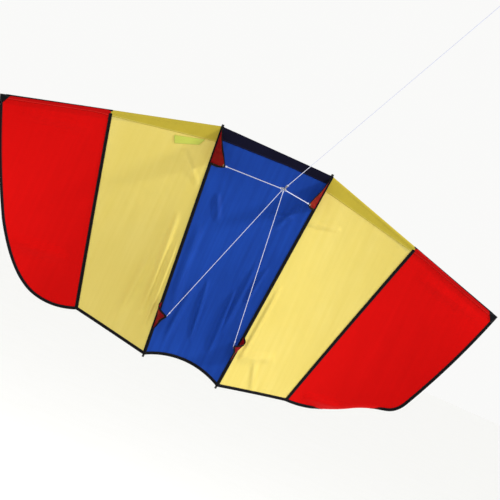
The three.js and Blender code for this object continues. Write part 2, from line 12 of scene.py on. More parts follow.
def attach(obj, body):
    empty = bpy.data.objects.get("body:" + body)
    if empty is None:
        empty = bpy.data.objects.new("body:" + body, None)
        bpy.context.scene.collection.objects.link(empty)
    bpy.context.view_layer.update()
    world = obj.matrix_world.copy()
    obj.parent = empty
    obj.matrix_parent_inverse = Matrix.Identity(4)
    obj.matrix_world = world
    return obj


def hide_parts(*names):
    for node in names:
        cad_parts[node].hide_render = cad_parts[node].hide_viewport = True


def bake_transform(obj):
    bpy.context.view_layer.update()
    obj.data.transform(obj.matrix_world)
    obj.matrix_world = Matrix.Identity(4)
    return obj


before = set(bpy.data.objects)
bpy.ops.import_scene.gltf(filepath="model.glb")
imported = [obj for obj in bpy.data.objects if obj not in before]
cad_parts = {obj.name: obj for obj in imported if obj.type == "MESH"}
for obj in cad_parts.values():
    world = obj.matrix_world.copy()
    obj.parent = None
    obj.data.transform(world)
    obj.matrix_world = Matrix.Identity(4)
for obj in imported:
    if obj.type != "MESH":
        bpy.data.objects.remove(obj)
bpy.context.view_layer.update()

# ---------------------------------------------------------------------------
# The camera, the lights and the floor.
# A long lens stands a little to the left of the kite and is rolled over, so
# that the kite banks as it does in the air.  The studio is pale and soft.
# ---------------------------------------------------------------------------
SAIL = Vector((0.0, 0.424, 0.103))          # middle of the leading edge
AIM = SAIL + Vector((0.0405, 0.0, -0.2761))
CAMERA_DISTANCE = 5.9076
AZIMUTH = math.radians(-7.54)
ELEVATION = math.radians(-0.35)
ROLL = math.radians(24.03)
FLOOR_DROP = 1.6
FLOOR_HALF = 60.0


def deselect_all():
    for obj in bpy.context.selected_objects:
        obj.select_set(False)


deselect_all()
back = Vector((math.sin(AZIMUTH) * math.cos(ELEVATION),
               -math.cos(AZIMUTH) * math.cos(ELEVATION), math.sin(ELEVATION)))
level = Vector((math.cos(AZIMUTH), math.sin(AZIMUTH), 0.0))
upright = back.cross(level)
across = math.cos(ROLL) * level + math.sin(ROLL) * upright
above = -math.sin(ROLL) * level + math.cos(ROLL) * upright
camera_data = bpy.data.cameras.new("camera")
camera_data.lens = 156.1
camera_data.sensor_width = 36.0
camera_data.clip_end = 200.0
camera = bpy.data.objects.new("camera", camera_data)
turn = Matrix((across, above, back)).transposed().to_4x4()
camera.matrix_world = Matrix.Translation(AIM + back * CAMERA_DISTANCE) @ turn
bpy.context.scene.collection.objects.link(camera)
bpy.context.scene.camera = camera


def soft_light(name, place, power, size, colour=(1.0, 1.0, 1.0)):
    data = bpy.data.lights.new(name, "AREA")
    data.energy = power
    data.size = size
    data.color = colour
    obj = bpy.data.objects.new(name, data)
    obj.location = place
    obj.rotation_euler = (AIM - Vector(place)).to_track_quat("-Z", "Y").to_euler()
    bpy.context.scene.collection.objects.link(obj)


soft_light("key", (4.6, -1.6, 3.4), 300.0, 0.7, (1.0, 0.98, 0.95))
soft_light("fill", (-4.0, -4.0, 0.5), 14.0, 3.0)
soft_light("behind", (-1.0, 5.0, 2.5), 40.0, 3.0)

bpy.context.scene.view_settings.view_transform = "Standard"
world = bpy.data.worlds.new("pale_studio")
bpy.context.scene.world = world
world.use_nodes = True
world.node_tree.nodes["Background"].inputs["Color"].default_value = (0.98, 0.98, 0.97, 1.0)
world.node_tree.nodes["Background"].inputs["Strength"].default_value = 0.97


def linear(hex_colour):
    """An sRGB hex value as the linear colour that a shader takes."""
    def channel(shift):
        c = ((hex_colour >> shift) & 255) / 255.0
        return c / 12.92 if c <= 0.04045 else ((c + 0.055) / 1.055) ** 2.4
    return (channel(16), channel(8), channel(0), 1.0)


def add_node(tree, kind, inputs=None, **settings):
    """Adds a node, sets its properties, and sets or links its inputs."""
    made = tree.nodes.new(kind)
    for key, value in settings.items():
        setattr(made, key, value)
    for key, value in (inputs or {}).items():
        if isinstance(value, bpy.types.NodeSocket):
            tree.links.new(value, made.inputs[key])
        else:
            made.inputs[key].default_value = value
    return made


def new_material(name):
    material = bpy.data.materials.new(name)
    material.use_nodes = True
    material.node_tree.nodes.clear()
    output = material.node_tree.nodes.new("ShaderNodeOutputMaterial")
    return material, material.node_tree, output


# Painted studio floor: matt, very pale, with a faint mottle from the roller.
painted_floor, tree, output = new_material("painted_floor")
place = add_node(tree, "ShaderNodeTexCoord")
mottle = add_node(tree, "ShaderNodeTexNoise", {"Vector": place.outputs["Object"], "Scale": 3.0})
shade = add_node(tree, "ShaderNodeMix", {"Factor": mottle.outputs["Fac"], "A": linear(0xFEFEFD),
                                         "B": linear(0xFBFBF9)}, data_type="RGBA")
shader = add_node(tree, "ShaderNodeBsdfPrincipled", {"Base Color": shade.outputs["Result"], "Roughness": 0.9})
tree.links.new(shader.outputs["BSDF"], output.inputs["Surface"])
bpy.ops.mesh.primitive_plane_add(size=2 * FLOOR_HALF, location=(0.0, 0.0, -FLOOR_DROP))
floor = bpy.context.object
floor.name = "studio_floor"
floor.data.materials.append(painted_floor)

# ---------------------------------------------------------------------------
# The cut of the sail.
# Right half in plan: x outwards, z up, from the middle of the leading edge.
# The wind fills each wing so that it falls back behind its leading edge.
# ---------------------------------------------------------------------------
CORNER = Vector((0.165, 0.0))
FOOT = Vector((0.109, -0.653))
TIP = Vector((0.748, -0.166))
SEAM_SHARE = 0.5043
SEAM_FOOT = Vector((0.319, -0.620))
SCALLOP = 0.027
BILLOW = 0.010
TWIST = 1.14
SEAM_EASE = 0.008
ROD_BEHIND = 0.0042
CLOTH = 0.0003


class PlanLine:
    """A line in plan with a normal that offsets are measured along."""

    def __init__(self, start, end, turn):
        self.start = start.copy()
        self.dir = (end - start).normalized()
        self.normal = Vector((-self.dir.y * turn, self.dir.x * turn))
        self.length = (end - start).length

    def at(self, distance, offset=0.0):
        return self.start + self.dir * distance + self.normal * offset


def meet(a, offset_a, b, offset_b):
    p = a.at(0.0, offset_a)
    q = b.at(0.0, offset_b)
    cross = a.dir.x * b.dir.y - a.dir.y * b.dir.x
    reach = ((q - p).x * b.dir.y - (q - p).y * b.dir.x) / cross
    return p + a.dir * reach


HINGE = PlanLine(CORNER, FOOT, 1.0)
LEADING = PlanLine(CORNER, TIP, -1.0)
SEAM_TOP = CORNER.lerp(TIP, SEAM_SHARE)
SEAM = PlanLine(SEAM_TOP, SEAM_FOOT, 1.0)
TRAILING = PlanLine(FOOT, SEAM_FOOT, 1.0)
TIP_OUT = (TIP - CORNER).dot(HINGE.normal)
TIP_DOWN = (TIP - CORNER).dot(HINGE.dir)

# Folds in the cloth: side, start, end, width, depth.  They run from where it is pulled, and
# FOLD_DEPTH deepens them all alike.
FOLDS = [
    (0, (-0.030, -0.395), (-0.008, -0.570), 0.006, 0.0042),
    (0, (0.048, -0.390), (0.052, -0.585), 0.007, 0.0050),
    (0, (0.075, -0.300), (0.062, -0.520), 0.008, 0.0035),
    (0, (0.120, -0.105), (0.075, -0.200), 0.008, 0.0045),
    (0, (0.118, -0.150), (0.040, -0.165), 0.007, 0.0030),
    (0, (-0.105, -0.170), (-0.070, -0.245), 0.009, 0.0040),
    (0, (-0.112, -0.260), (-0.095, -0.500), 0.012, 0.0040),
    (0, (0.105, -0.300), (0.088, -0.420), 0.006, 0.0035),
    (0, (-0.060, -0.420), (-0.075, -0.600), 0.010, 0.0028),
    (-1, (0.180, -0.260), (0.160, -0.560), 0.010, 0.0050),
    (-1, (0.150, -0.330), (0.138, -0.600), 0.006, 0.0030),
    (-1, (0.200, -0.380), (0.215, -0.600), 0.014, 0.0035),
    (-1, (0.235, -0.100), (0.160, -0.175), 0.010, 0.0022),
    (1, (0.152, -0.150), (0.250, -0.125), 0.007, 0.0032),
    (1, (0.160, -0.330), (0.140, -0.560), 0.008, 0.0038),
    (1, (0.130, -0.560), (0.235, -0.520), 0.016, 0.0050),
    (1, (0.180, -0.540), (0.215, -0.640), 0.012, 0.0040),
    (1, (0.500, -0.150), (0.700, -0.190), 0.016, 0.0030),
    (-1, (0.480, -0.150), (0.690, -0.185), 0.016, 0.0028),
    (-1, (0.400, -0.500), (0.560, -0.520), 0.020, 0.0035),
    (1, (0.360, -0.590), (0.470, -0.575), 0.012, 0.0040),
]
FOLD_DEPTH = 2.0


def fold(p, start, end, width, depth):
    start, end = Vector(start), Vector(end)
    run = end - start
    share = (p - start).dot(run) / run.length_squared
    near = (p - start - run * share).length
    ends = max(0.0, 1.0 - abs(2.0 * share - 1.0) ** 3)
    ridge = near / width
    return depth * ends * math.exp(-ridge * ridge) * (1.0 - 0.6 * ridge * ridge)


def seam_hold(p):
    """Folds die out at the leading edge, where the cloth is held straight."""
    top = -p.y if p.x < CORNER.x else (p - CORNER).dot(LEADING.normal)
    return min(max((top - 0.02) / 0.06, 0.0), 1.0)


def wrinkles(side, p):
    """How far folds push the cloth forward at plan point p of one side's half."""
    middle = (p - CORNER).dot(HINGE.normal) < 0.0
    key = 0 if middle else side
    x = side * p.x if middle else p.x
    here = Vector((x, p.y))
    total = 0.0
    for owner, start, end, width, depth in FOLDS:
        if owner == key:
            total += FOLD_DEPTH * fold(here, start, end, width, depth)
    seed = 3.1 if middle else 7.7 + side
    streak = noise.noise(Vector((x * 26.0 + p.y * 2.2, p.y * 3.5, seed)))
    crumple = noise.noise(Vector((x * 55.0, p.y * 42.0, seed + 9.0)))
    total += 0.0009 * streak + 0.0003 * crumple
    line = abs((p - CORNER).dot(HINGE.normal))
    return total * seam_hold(p) * min(line / 0.015, 1.0)


def sail_depth(p):
    """How far the filled sail lies behind the plane of the centre seams."""
    out = (p - CORNER).dot(HINGE.normal)
    down = (p - CORNER).dot(HINGE.dir)
    if out > 0.0:
        fall = max(down - out * TIP_DOWN / TIP_OUT, 0.0)
        eased = out * out / (out + SEAM_EASE)
        return TWIST * eased * (1.0 - (out / TIP_OUT) ** 2) * fall
    half = CORNER.x + p.y * (CORNER.x - FOOT.x) / -FOOT.y
    bow = 1.0 - (p.x / half) ** 2
    return BILLOW * bow * math.sin(math.pi / 2 * min(down / HINGE.length, 1.0))


def on_sail(side, p, proud=0.0):
    """The point in space over plan point p, proud of the cloth towards the line."""
    y = sail_depth(p) - wrinkles(side, p) - proud
    return SAIL + Vector((side * p.x, y, p.y))


def cloth_grid(name, columns, rows, place, thick, material):
    """A sheet of cloth: place(u, v) gives its middle and its UV in metres."""
    mesh = bpy.data.meshes.new(name)
    shape = bmesh.new()
    uv = shape.loops.layers.uv.new("UVMap")
    grid = []
    for j in range(rows + 1):
        line = []
        for i in range(columns + 1):
            point, cloth_uv = place(i / columns, j / rows)
            line.append((shape.verts.new(point), cloth_uv))
        grid.append(line)
    for j in range(rows):
        for i in range(columns):
            corners = [grid[j][i], grid[j + 1][i], grid[j + 1][i + 1], grid[j][i + 1]]
            face = shape.faces.new([vertex for vertex, _ in corners])
            face.smooth = True
            for loop, (_, cloth_uv) in zip(face.loops, corners):
                loop[uv].uv = cloth_uv
    shape.to_mesh(mesh)
    shape.free()
    obj = bpy.data.objects.new(name, mesh)
    bpy.context.scene.collection.objects.link(obj)
    mesh.materials.append(material)
    if thick > 0.0:
        deselect_all()
        bpy.context.view_layer.objects.active = obj
        obj.select_set(True)
        wall = obj.modifiers.new("wall", "SOLIDIFY")
        wall.thickness = thick
        wall.offset = 0.0
        bpy.ops.object.modifier_apply(modifier=wall.name)
    return obj


def shoelace(outline):
    """The area inside a closed outline."""
    around = zip(outline, outline[1:] + outline[:1])
    return abs(sum(a.x * b.y - b.x * a.y for a, b in around)) / 2.0


def declare_cut(outline):
    """Works out the area inside the flat outline a sheet is cut to, which owes nothing to its mesh; the area
    is not kept.
    """
    shoelace(outline)


def taffeta(name, light, deep, glow):
    """Polyester taffeta, calendered: thin, faintly shiny, and bright where light comes through.
    Threads are 0.3 mm apart and are drawn at 1.2 mm, because finer ones can't show."""
    material, tree, output = new_material(name)
    place = add_node(tree, "ShaderNodeTexCoord")
    warp = add_node(tree, "ShaderNodeTexWave", {"Vector": place.outputs["UV"], "Scale": 262.0,
                                                "Distortion": 0.4}, bands_direction="X")
    weft = add_node(tree, "ShaderNodeTexWave", {"Vector": place.outputs["UV"], "Scale": 262.0,
                                                "Distortion": 0.4}, bands_direction="Y")
    weave = add_node(tree, "ShaderNodeMath", {0: warp.outputs["Fac"], 1: weft.outputs["Fac"]},
                     operation="MULTIPLY")
    stretch = add_node(tree, "ShaderNodeMapping", {"Vector": place.outputs["UV"],
                                                   "Scale": (90.0, 4.0, 1.0)})
    slub = add_node(tree, "ShaderNodeTexNoise", {"Vector": stretch.outputs["Vector"], "Scale": 1.0,
                                                 "Detail": 3.0})
    cloud = add_node(tree, "ShaderNodeTexNoise", {"Vector": place.outputs["Object"], "Scale": 5.0,
                                                  "Detail": 4.0})
    uneven = add_node(tree, "ShaderNodeMath", {0: slub.outputs["Fac"], 1: cloud.outputs["Fac"]},
                      operation="MULTIPLY")
    spread = add_node(tree, "ShaderNodeMapRange", {"Value": uneven.outputs["Value"], "From Min": 0.12,
                                                   "From Max": 0.42})
    colour = add_node(tree, "ShaderNodeMix", {"Factor": spread.outputs["Result"], "A": linear(deep),
                                              "B": linear(light)}, data_type="RGBA")
    bump = add_node(tree, "ShaderNodeBump", {"Height": weave.outputs["Value"], "Strength": 0.12,
                                             "Distance": 0.0002})
    shader = add_node(tree, "ShaderNodeBsdfPrincipled",
                      {"Base Color": colour.outputs["Result"], "Roughness": 0.55,
                       "Specular IOR Level": 0.06, "Sheen Weight": 0.01,
                       "Normal": bump.outputs["Normal"]})
    through = add_node(tree, "ShaderNodeBsdfTranslucent", {"Color": linear(glow),
                                                           "Normal": bump.outputs["Normal"]})
    both = add_node(tree, "ShaderNodeMixShader", {0: 0.3, 1: shader.outputs["BSDF"],
                                                  2: through.outputs["BSDF"]})
    tree.links.new(both.outputs["Shader"], output.inputs["Surface"])
    return material


# ---------------------------------------------------------------------------
# The blue middle panel.
# One piece of taffeta between the two long seams, cut with a hollow at its
# foot.  It bellies back a little and creases above the foot.
# ---------------------------------------------------------------------------
blue_taffeta = taffeta("blue_taffeta", 0x1E4CAC, 0x183F94, 0x1A4CBA)
HEM = 0.0080


def centre_plan(u, z):
    half = CORNER.x + z * (CORNER.x - FOOT.x) / -FOOT.y
    return Vector(((2.0 * u - 1.0) * half, z))


def centre_foot(u):
    return FOOT.y + SCALLOP * (1.0 - (2.0 * u - 1.0) ** 2)


def centre_point(u, v):
    p = centre_plan(u, -0.006 + v * (centre_foot(u) + 0.002 + 0.006))
    return on_sail(1, p), (p.x, p.y)


panel_centre = cloth_grid("blue_panel", 96, 150, centre_point, CLOTH, blue_taffeta)
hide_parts("panel_centre")
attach(panel_centre, "centre")

# ---------------------------------------------------------------------------
# The yellow inner panels of the wings.
# Taffeta from the long seam to the red panel.  Its columns lie closer beside
# the long rod, and it rides with the middle.
# ---------------------------------------------------------------------------
yellow_taffeta = taffeta("yellow_taffeta", 0xE0D27A, 0xDACB6E, 0xEAD670)
COLUMN_EASE = 1.35
SIDES = (("left", -1), ("right", 1))


def bend_at_hinge(obj):
    """Puts the piece's place into its mesh and hangs it on the middle's body."""
    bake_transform(obj)
    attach(obj, "centre")


def quad_plan(corners):
    """Top inner, top outer, foot inner, foot outer."""
    def plan(u, v):
        return corners[0].lerp(corners[1], u).lerp(corners[2].lerp(corners[3], u), v)
    return plan


def ease_columns(u):
    """Closer columns beside the long seam, where the cloth turns most."""
    return u ** COLUMN_EASE


def add_yellow_panel(name, side):
    top = 0.006
    plan = quad_plan([meet(LEADING, top, HINGE, 0.0), meet(LEADING, top, SEAM, 0.0),
                      meet(TRAILING, 0.002, HINGE, 0.0), meet(TRAILING, 0.002, SEAM, 0.0)])

    def place(u, v):
        p = plan(ease_columns(u if side > 0 else 1.0 - u), v)
        return on_sail(side, p), (side * p.x, p.y)

    panel = cloth_grid("yellow_panel_" + name, 96, 130, place, CLOTH, yellow_taffeta)
    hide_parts("panel_inner_" + name)
    bend_at_hinge(panel)


for name, side in SIDES:
    add_yellow_panel(name, side)

# ---------------------------------------------------------------------------
# The red outer panels.
# Taffeta cut to the wing tip's long curve and rounded lower corner.  On the
# right the wind has rolled the slack lower edge back behind the panel.
# ---------------------------------------------------------------------------
red_taffeta = taffeta("red_taffeta", 0xD00504, 0xC80402, 0xE60804)
EDGE_CUT = {
    -1: [(SEAM_FOOT, (0.384, -0.649), (0.448, -0.629)), ((0.448, -0.629), (0.525, -0.603), (0.606, -0.473)),
         ((0.606, -0.473), (0.688, -0.325), TIP)],
    1: [(SEAM_FOOT, (0.372, -0.622), (0.427, -0.602)), ((0.427, -0.602), (0.474, -0.584), (0.505, -0.564)),
        ((0.505, -0.564), (0.540, -0.544), (0.586, -0.531)),
        ((0.586, -0.531), (0.612, -0.523), (0.626, -0.492)), ((0.626, -0.492), (0.690, -0.345), TIP)],
}
EDGE_STOP = 0.988
EDGE_ZONE = 0.012
EDGE_LAP = 0.002
ZONE_ROWS = 0.34
ROLL_RADIUS = 0.016
ROLL_MOST = 0.042
SEAM_TURN = 0.09


def curve_points(cut, steps=60):
    points = []
    for start, control, end in cut:
        a, b, c = Vector(start), Vector(control), Vector(end)
        for i in range(steps):
            t = i / steps
            points.append(a.lerp(b, t).lerp(b.lerp(c, t), t))
    points.append(Vector(cut[-1][2]))
    return points


def curve_lengths(points):
    lengths = [0.0]
    for a, b in zip(points, points[1:]):
        lengths.append(lengths[-1] + (b - a).length)
    return lengths


EDGES = {}
for side, cut in EDGE_CUT.items():
    points = curve_points(cut)
    EDGES[side] = (points, curve_lengths(points))


def smooth(value):
    value = min(max(value, 0.0), 1.0)
    return value * value * (3.0 - 2.0 * value)


def edge_sample(side, share):
    """A point of the outer edge and the way in from it, which follows the seam near the seam's foot."""
    points, lengths = EDGES[side]
    reach = share * lengths[-1]
    i = 0
    while i < len(points) - 2 and lengths[i + 1] < reach:
        i += 1
    t = (reach - lengths[i]) / (lengths[i + 1] - lengths[i])
    before = (points[i] - points[max(i - 1, 0)]).normalized() if i else (points[1] - points[0]).normalized()
    after = (points[i + 1] - points[i]).normalized()
    tangent = before.lerp(after, 0.5 + t / 2).normalized()
    square = Vector((-tangent.y, tangent.x))
    inward = (-SEAM.dir).lerp(square, smooth(share / SEAM_TURN)).normalized()
    return points[i].lerp(points[i + 1], t), inward


def roll_length(side, share):
    """The length of cloth that the wind has curled back at the lower edge."""
    if side < 0:
        return 0.0
    return ROLL_MOST * smooth((share - 0.08) / 0.12) * smooth((0.42 - share) / 0.09)


def curl_reach(curled):
    """How far a curled length of cloth still reaches in plan."""
    return ROLL_RADIUS * math.sin(min(curled / ROLL_RADIUS, math.pi / 2))


def edge_point(side, share, inset):
    """Plan point at a distance in from the cloth's own edge, and how far the curl carries it back."""
    point, inward = edge_sample(side, share)
    if share <= 0.0:
        return point - SEAM.dir * inset / abs(inward.dot(SEAM.dir)), 0.0
    curled = roll_length(side, share)
    start = curl_reach(curled)
    if inset >= curled:
        return point + inward * (inset - curled + start), 0.0
    angle = (curled - inset) / ROLL_RADIUS
    return (point + inward * (start - ROLL_RADIUS * math.sin(angle)),
            ROLL_RADIUS * (1.0 - math.cos(angle)))


def outer_plan(side, u, v):
    """Red panel: ruled from the leading edge, then parallel to the outer edge."""
    top = meet(LEADING, 0.006, SEAM, 0.0).lerp(LEADING.at(LEADING.length - 0.016, 0.010), u)
    share = u * EDGE_STOP
    zone = roll_length(side, share) + EDGE_ZONE
    near, _ = edge_point(side, share, zone)
    split = 1.0 - ZONE_ROWS
    if v <= split:
        return top.lerp(near, v / split), 0.0
    return edge_point(side, share, EDGE_LAP + (zone - EDGE_LAP) * (1.0 - v) / (1.0 - split))


def add_red_panel(name, side):
    def place(u, v):
        p, behind = outer_plan(side, u if side > 0 else 1.0 - u, v)
        point = on_sail(side, p)
        point.y += behind
        return point, (side * p.x, p.y + behind)

    panel = cloth_grid("red_panel_" + name, 110, 120, place, CLOTH, red_taffeta)
    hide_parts("panel_outer_" + name)
    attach(panel, "wing_" + name)


for name, side in SIDES:
    add_red_panel(name, side)

# ---------------------------------------------------------------------------
# The leading edge pockets.
# The front edge of each panel is turned over the spar and sewn down, so the
# cloth there is double; its darker colour is painted shade for the light that
# the doubled cloth holds back.  One row of thread holds the fold.
# ---------------------------------------------------------------------------
POCKET_R = 0.0050
BACK_FLAP = 0.022
BAND_CENTRE = (0.036, 0.026)
BAND_CORNER = 0.044
BAND_END = 0.806 * LEADING.length
BAND_LEAST = 0.0125
STITCH_IN = 0.0022
FLAP_TOP = 0.0004
FLAP_EASE = 0.006
POCKET_CUT = 0.034
BAND_THICK = 0.0004


def lockstitch(tree, split, from_row, thread_half, pitch, stitch_length):
    """Marks a row of stitches: 1 on the thread, and 0 beside it and between stitches."""
    distance = add_node(tree, "ShaderNodeMath", {0: from_row.outputs["Value"]}, operation="ABSOLUTE")
    row = add_node(tree, "ShaderNodeMath", {0: distance.outputs["Value"], 1: thread_half},
                   operation="LESS_THAN")
    beat = add_node(tree, "ShaderNodeMath", {0: split.outputs["X"], 1: pitch}, operation="MODULO")
    stitch = add_node(tree, "ShaderNodeMath", {0: beat.outputs["Value"], 1: stitch_length},
                      operation="LESS_THAN")
    return add_node(tree, "ShaderNodeMath", {0: row.outputs["Value"], 1: stitch.outputs["Value"]},
                    operation="MULTIPLY")


def doubled_band_painted_shade(name, light, deep, thread):
    """Doubled taffeta with a lockstitch along the flap, drawn in a deeper colour that is painted shade for
    the light the doubled layers hold back.
    """
    material, tree, output = new_material(name)
    place = add_node(tree, "ShaderNodeTexCoord")
    split = add_node(tree, "ShaderNodeSeparateXYZ", {"Vector": place.outputs["UV"]})
    weave = add_node(tree, "ShaderNodeTexWave", {"Vector": place.outputs["UV"], "Scale": 262.0,
                                                 "Distortion": 0.5}, bands_direction="DIAGONAL")
    cloud = add_node(tree, "ShaderNodeTexNoise", {"Vector": place.outputs["UV"], "Scale": 22.0,
                                                  "Detail": 4.0})
    colour = add_node(tree, "ShaderNodeMix", {"Factor": cloud.outputs["Fac"], "A": linear(deep),
                                              "B": linear(light)}, data_type="RGBA")
    from_row = add_node(tree, "ShaderNodeMath", {0: split.outputs["Y"], 1: STITCH_IN}, operation="SUBTRACT")
    mark = lockstitch(tree, split, from_row, 0.00035, 0.003, 0.0022)
    sewn = add_node(tree, "ShaderNodeMix", {"Factor": mark.outputs["Value"], "A": colour.outputs["Result"],
                                            "B": linear(thread)}, data_type="RGBA")
    height = add_node(tree, "ShaderNodeMath", {0: weave.outputs["Fac"], 1: mark.outputs["Value"]},
                      operation="ADD")
    bump = add_node(tree, "ShaderNodeBump", {"Height": height.outputs["Value"], "Strength": 0.3,
                                             "Distance": 0.0003})
    shader = add_node(tree, "ShaderNodeBsdfPrincipled",
                      {"Base Color": sewn.outputs["Result"], "Roughness": 0.6, "Specular IOR Level": 0.06,
                       "Normal": bump.outputs["Normal"]})
    tree.links.new(shader.outputs["BSDF"], output.inputs["Surface"])
    return material


# Each band is its panel's taffeta drawn darker: painted shade, not a darker cloth.
navy_band_painted_shade = doubled_band_painted_shade("navy_taffeta_painted_shade", 0x0A0A22, 0x060414, 0x1C2040)
gold_band_painted_shade = doubled_band_painted_shade("gold_taffeta_painted_shade", 0xB4A034, 0x9E9030, 0xC8BC68)
crimson_band_painted_shade = doubled_band_painted_shade("crimson_taffeta_painted_shade", 0xB00202, 0x960000, 0xD02820)


def pocket_section(depth, v):
    """Distance down from the leading edge and distance back, once round the spar.
    v runs from the front flap's lower edge, over the top, to the back flap's lower edge."""
    front = max(depth - POCKET_R, 0.004)
    arc = math.pi * POCKET_R
    whole = front + arc + BACK_FLAP
    reach = v * whole
    if reach < front:
        return depth - reach, -0.0008, reach
    if reach < front + arc:
        angle = (reach - front) / POCKET_R
        return (POCKET_R - POCKET_R * math.sin(angle), ROD_BEHIND - POCKET_R * math.cos(angle), reach)
    fall = (reach - front - arc) / BACK_FLAP
    back = ROD_BEHIND + POCKET_R
    return POCKET_R + fall * BACK_FLAP * 0.92, back - fall * (back - 0.0009), reach


def pocket_point(side, line_at, normal, depth, v):
    down, behind, reach = pocket_section(depth, v)
    p = line_at + normal * down
    ease = FLAP_EASE if behind < 0.0 else BACK_FLAP
    share = min(max((down - POCKET_R) / ease, 0.0), 1.0)
    lift = sail_depth(p) - wrinkles(side, p)
    return SAIL + Vector((side * p.x, behind + lift * share, p.y)), reach


def centre_band(u):
    return BAND_CENTRE[0] + (BAND_CENTRE[1] - BAND_CENTRE[0]) * min(u * 1.6, 1.0)


def add_centre_pocket():
    """The front flap reaches both corners.  The tunnel behind it is cut back at each end, which
    leaves the wing's fitting room to turn."""
    half = CORNER.x - 0.0003

    def flap(u, v):
        at = Vector(((2.0 * u - 1.0) * half, -FLAP_TOP - v * (centre_band(u) - FLAP_TOP)))
        return on_sail(1, at, 0.0011), (at.x, centre_band(u) + at.y)

    def tunnel(u, v):
        at = Vector(((2.0 * u - 1.0) * (CORNER.x - POCKET_CUT), 0.0))
        point, reach = pocket_point(1, at, Vector((0.0, -1.0)), POCKET_R + FLAP_EASE, 1.0 - v)
        return point, (at.x, reach)

    front = cloth_grid("navy_flap", 90, 16, flap, BAND_THICK, navy_band_painted_shade)
    wrap = cloth_grid("navy_pocket", 80, 60, tunnel, BAND_THICK, navy_band_painted_shade)
    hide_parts("pocket_centre")
    for piece in (front, wrap):
        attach(piece, "centre")


def wing_band(distance):
    return max(BAND_CORNER * (1.0 - distance / BAND_END), BAND_LEAST)


def add_wing_pocket(name, side, piece, start, end, material, node, skew=0.0):
    def place(u, v):
        share = u if side > 0 else 1.0 - u
        distance = start + (end - start) * share
        depth = wing_band(distance)
        down, _, _ = pocket_section(depth, 1.0 - v)
        shift = skew * down * (1.0 - share)
        at = LEADING.at(distance + shift)
        point, reach = pocket_point(side, at, LEADING.normal, depth, 1.0 - v)
        return point, (side * distance, reach)

    pocket = cloth_grid(piece + "_" + name, 90, 60, place, BAND_THICK, material)
    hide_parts(node + "_" + name)
    return pocket


TIP_CAP = 0.015
SEAM_AT = LEADING.length * SEAM_SHARE
CAP_AT = LEADING.length - TIP_CAP
add_centre_pocket()
for name, side in SIDES:
    gold = add_wing_pocket(name, side, "gold_pocket", 0.0, SEAM_AT, gold_band_painted_shade, "pocket_inner",
                           skew=0.195)
    bend_at_hinge(gold)
    crimson = add_wing_pocket(name, side, "crimson_pocket", SEAM_AT + 0.0002, CAP_AT - 0.001, crimson_band_painted_shade,
                              "pocket_outer")
    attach(crimson, "wing_" + name)

# ---------------------------------------------------------------------------
# Black tape on the seams and round every free edge.
# Woven polyester bias tape, 9 mm on the seams and 8 mm folded round the
# edges, held by two rows of lockstitch.
# ---------------------------------------------------------------------------
TAPE_HALF = 0.0045
TAPE_THICK = 0.0004
HEM_THICK = 0.0003
HEM_TURN = 0.0012
PATCH_LENGTH, PATCH_EDGE = 0.030, 0.955


def sewn_tape(name, base, lighter, thread, width):
    """Matt woven tape: fine diagonal twill, with a row of stitches 1.4 mm from each edge."""
    material, tree, output = new_material(name)
    place = add_node(tree, "ShaderNodeTexCoord")
    split = add_node(tree, "ShaderNodeSeparateXYZ", {"Vector": place.outputs["UV"]})
    twill = add_node(tree, "ShaderNodeTexWave", {"Vector": place.outputs["UV"], "Scale": 230.0},
                     bands_direction="DIAGONAL")
    centred = add_node(tree, "ShaderNodeMath", {0: split.outputs["Y"], 1: width / 2}, operation="SUBTRACT")
    outward = add_node(tree, "ShaderNodeMath", {0: centred.outputs["Value"]}, operation="ABSOLUTE")
    from_row = add_node(tree, "ShaderNodeMath", {0: outward.outputs["Value"], 1: width / 2 - 0.0014},
                        operation="SUBTRACT")
    mark = lockstitch(tree, split, from_row, 0.00025, 0.0028, 0.002)
    weave = add_node(tree, "ShaderNodeMix", {"Factor": twill.outputs["Fac"], "A": linear(base),
                                             "B": linear(lighter)}, data_type="RGBA")
    sewn = add_node(tree, "ShaderNodeMix", {"Factor": mark.outputs["Value"], "A": weave.outputs["Result"],
                                            "B": linear(thread)}, data_type="RGBA")
    height = add_node(tree, "ShaderNodeMath", {0: twill.outputs["Fac"], 1: mark.outputs["Value"]},
                      operation="ADD")
    bump = add_node(tree, "ShaderNodeBump", {"Height": height.outputs["Value"], "Strength": 0.35,
                                             "Distance": 0.0003})
    shader = add_node(tree, "ShaderNodeBsdfPrincipled",
                      {"Base Color": sewn.outputs["Result"], "Roughness": 0.85, "Specular IOR Level": 0.08,
                       "Normal": bump.outputs["Normal"]})
    tree.links.new(shader.outputs["BSDF"], output.inputs["Surface"])
    return material


seam_tape = sewn_tape("black_seam_tape", 0x070709, 0x111114, 0x2A2A2E, 2 * TAPE_HALF)
edge_tape = sewn_tape("black_edge_tape", 0x070709, 0x111114, 0x2A2A2E, HEM)


def tape_on_line(piece, side, line, top, end, node):
    """A strip over a seam, from the leading edge to the trailing edge."""
    def place(u, v):
        offset = TAPE_HALF * (2.0 * u - 1.0) * side
        distance = top + (end - top) * v
        p = line.at(distance, offset)
        crown = 0.0003 * (1.0 - (2.0 * u - 1.0) ** 2)
        return on_sail(side, p, 0.0014 + crown), (distance, u * 2 * TAPE_HALF)

    tape = cloth_grid(piece, 8, 160, place, TAPE_THICK, seam_tape)
    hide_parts(node)
    return tape


def hem_section(v):
    """Inset from the edge and offset from the cloth's middle, folded round the edge."""
    girth = 2.0 * HEM + HEM_TURN
    reach = v * girth
    if reach < HEM:
        return HEM - reach, -0.0007, reach
    if reach < girth - HEM:
        angle = math.pi * (reach - HEM) / HEM_TURN
        return -0.0004 * math.sin(angle), -0.0007 * math.cos(angle), HEM
    return reach - (girth - HEM), 0.0007, girth - reach


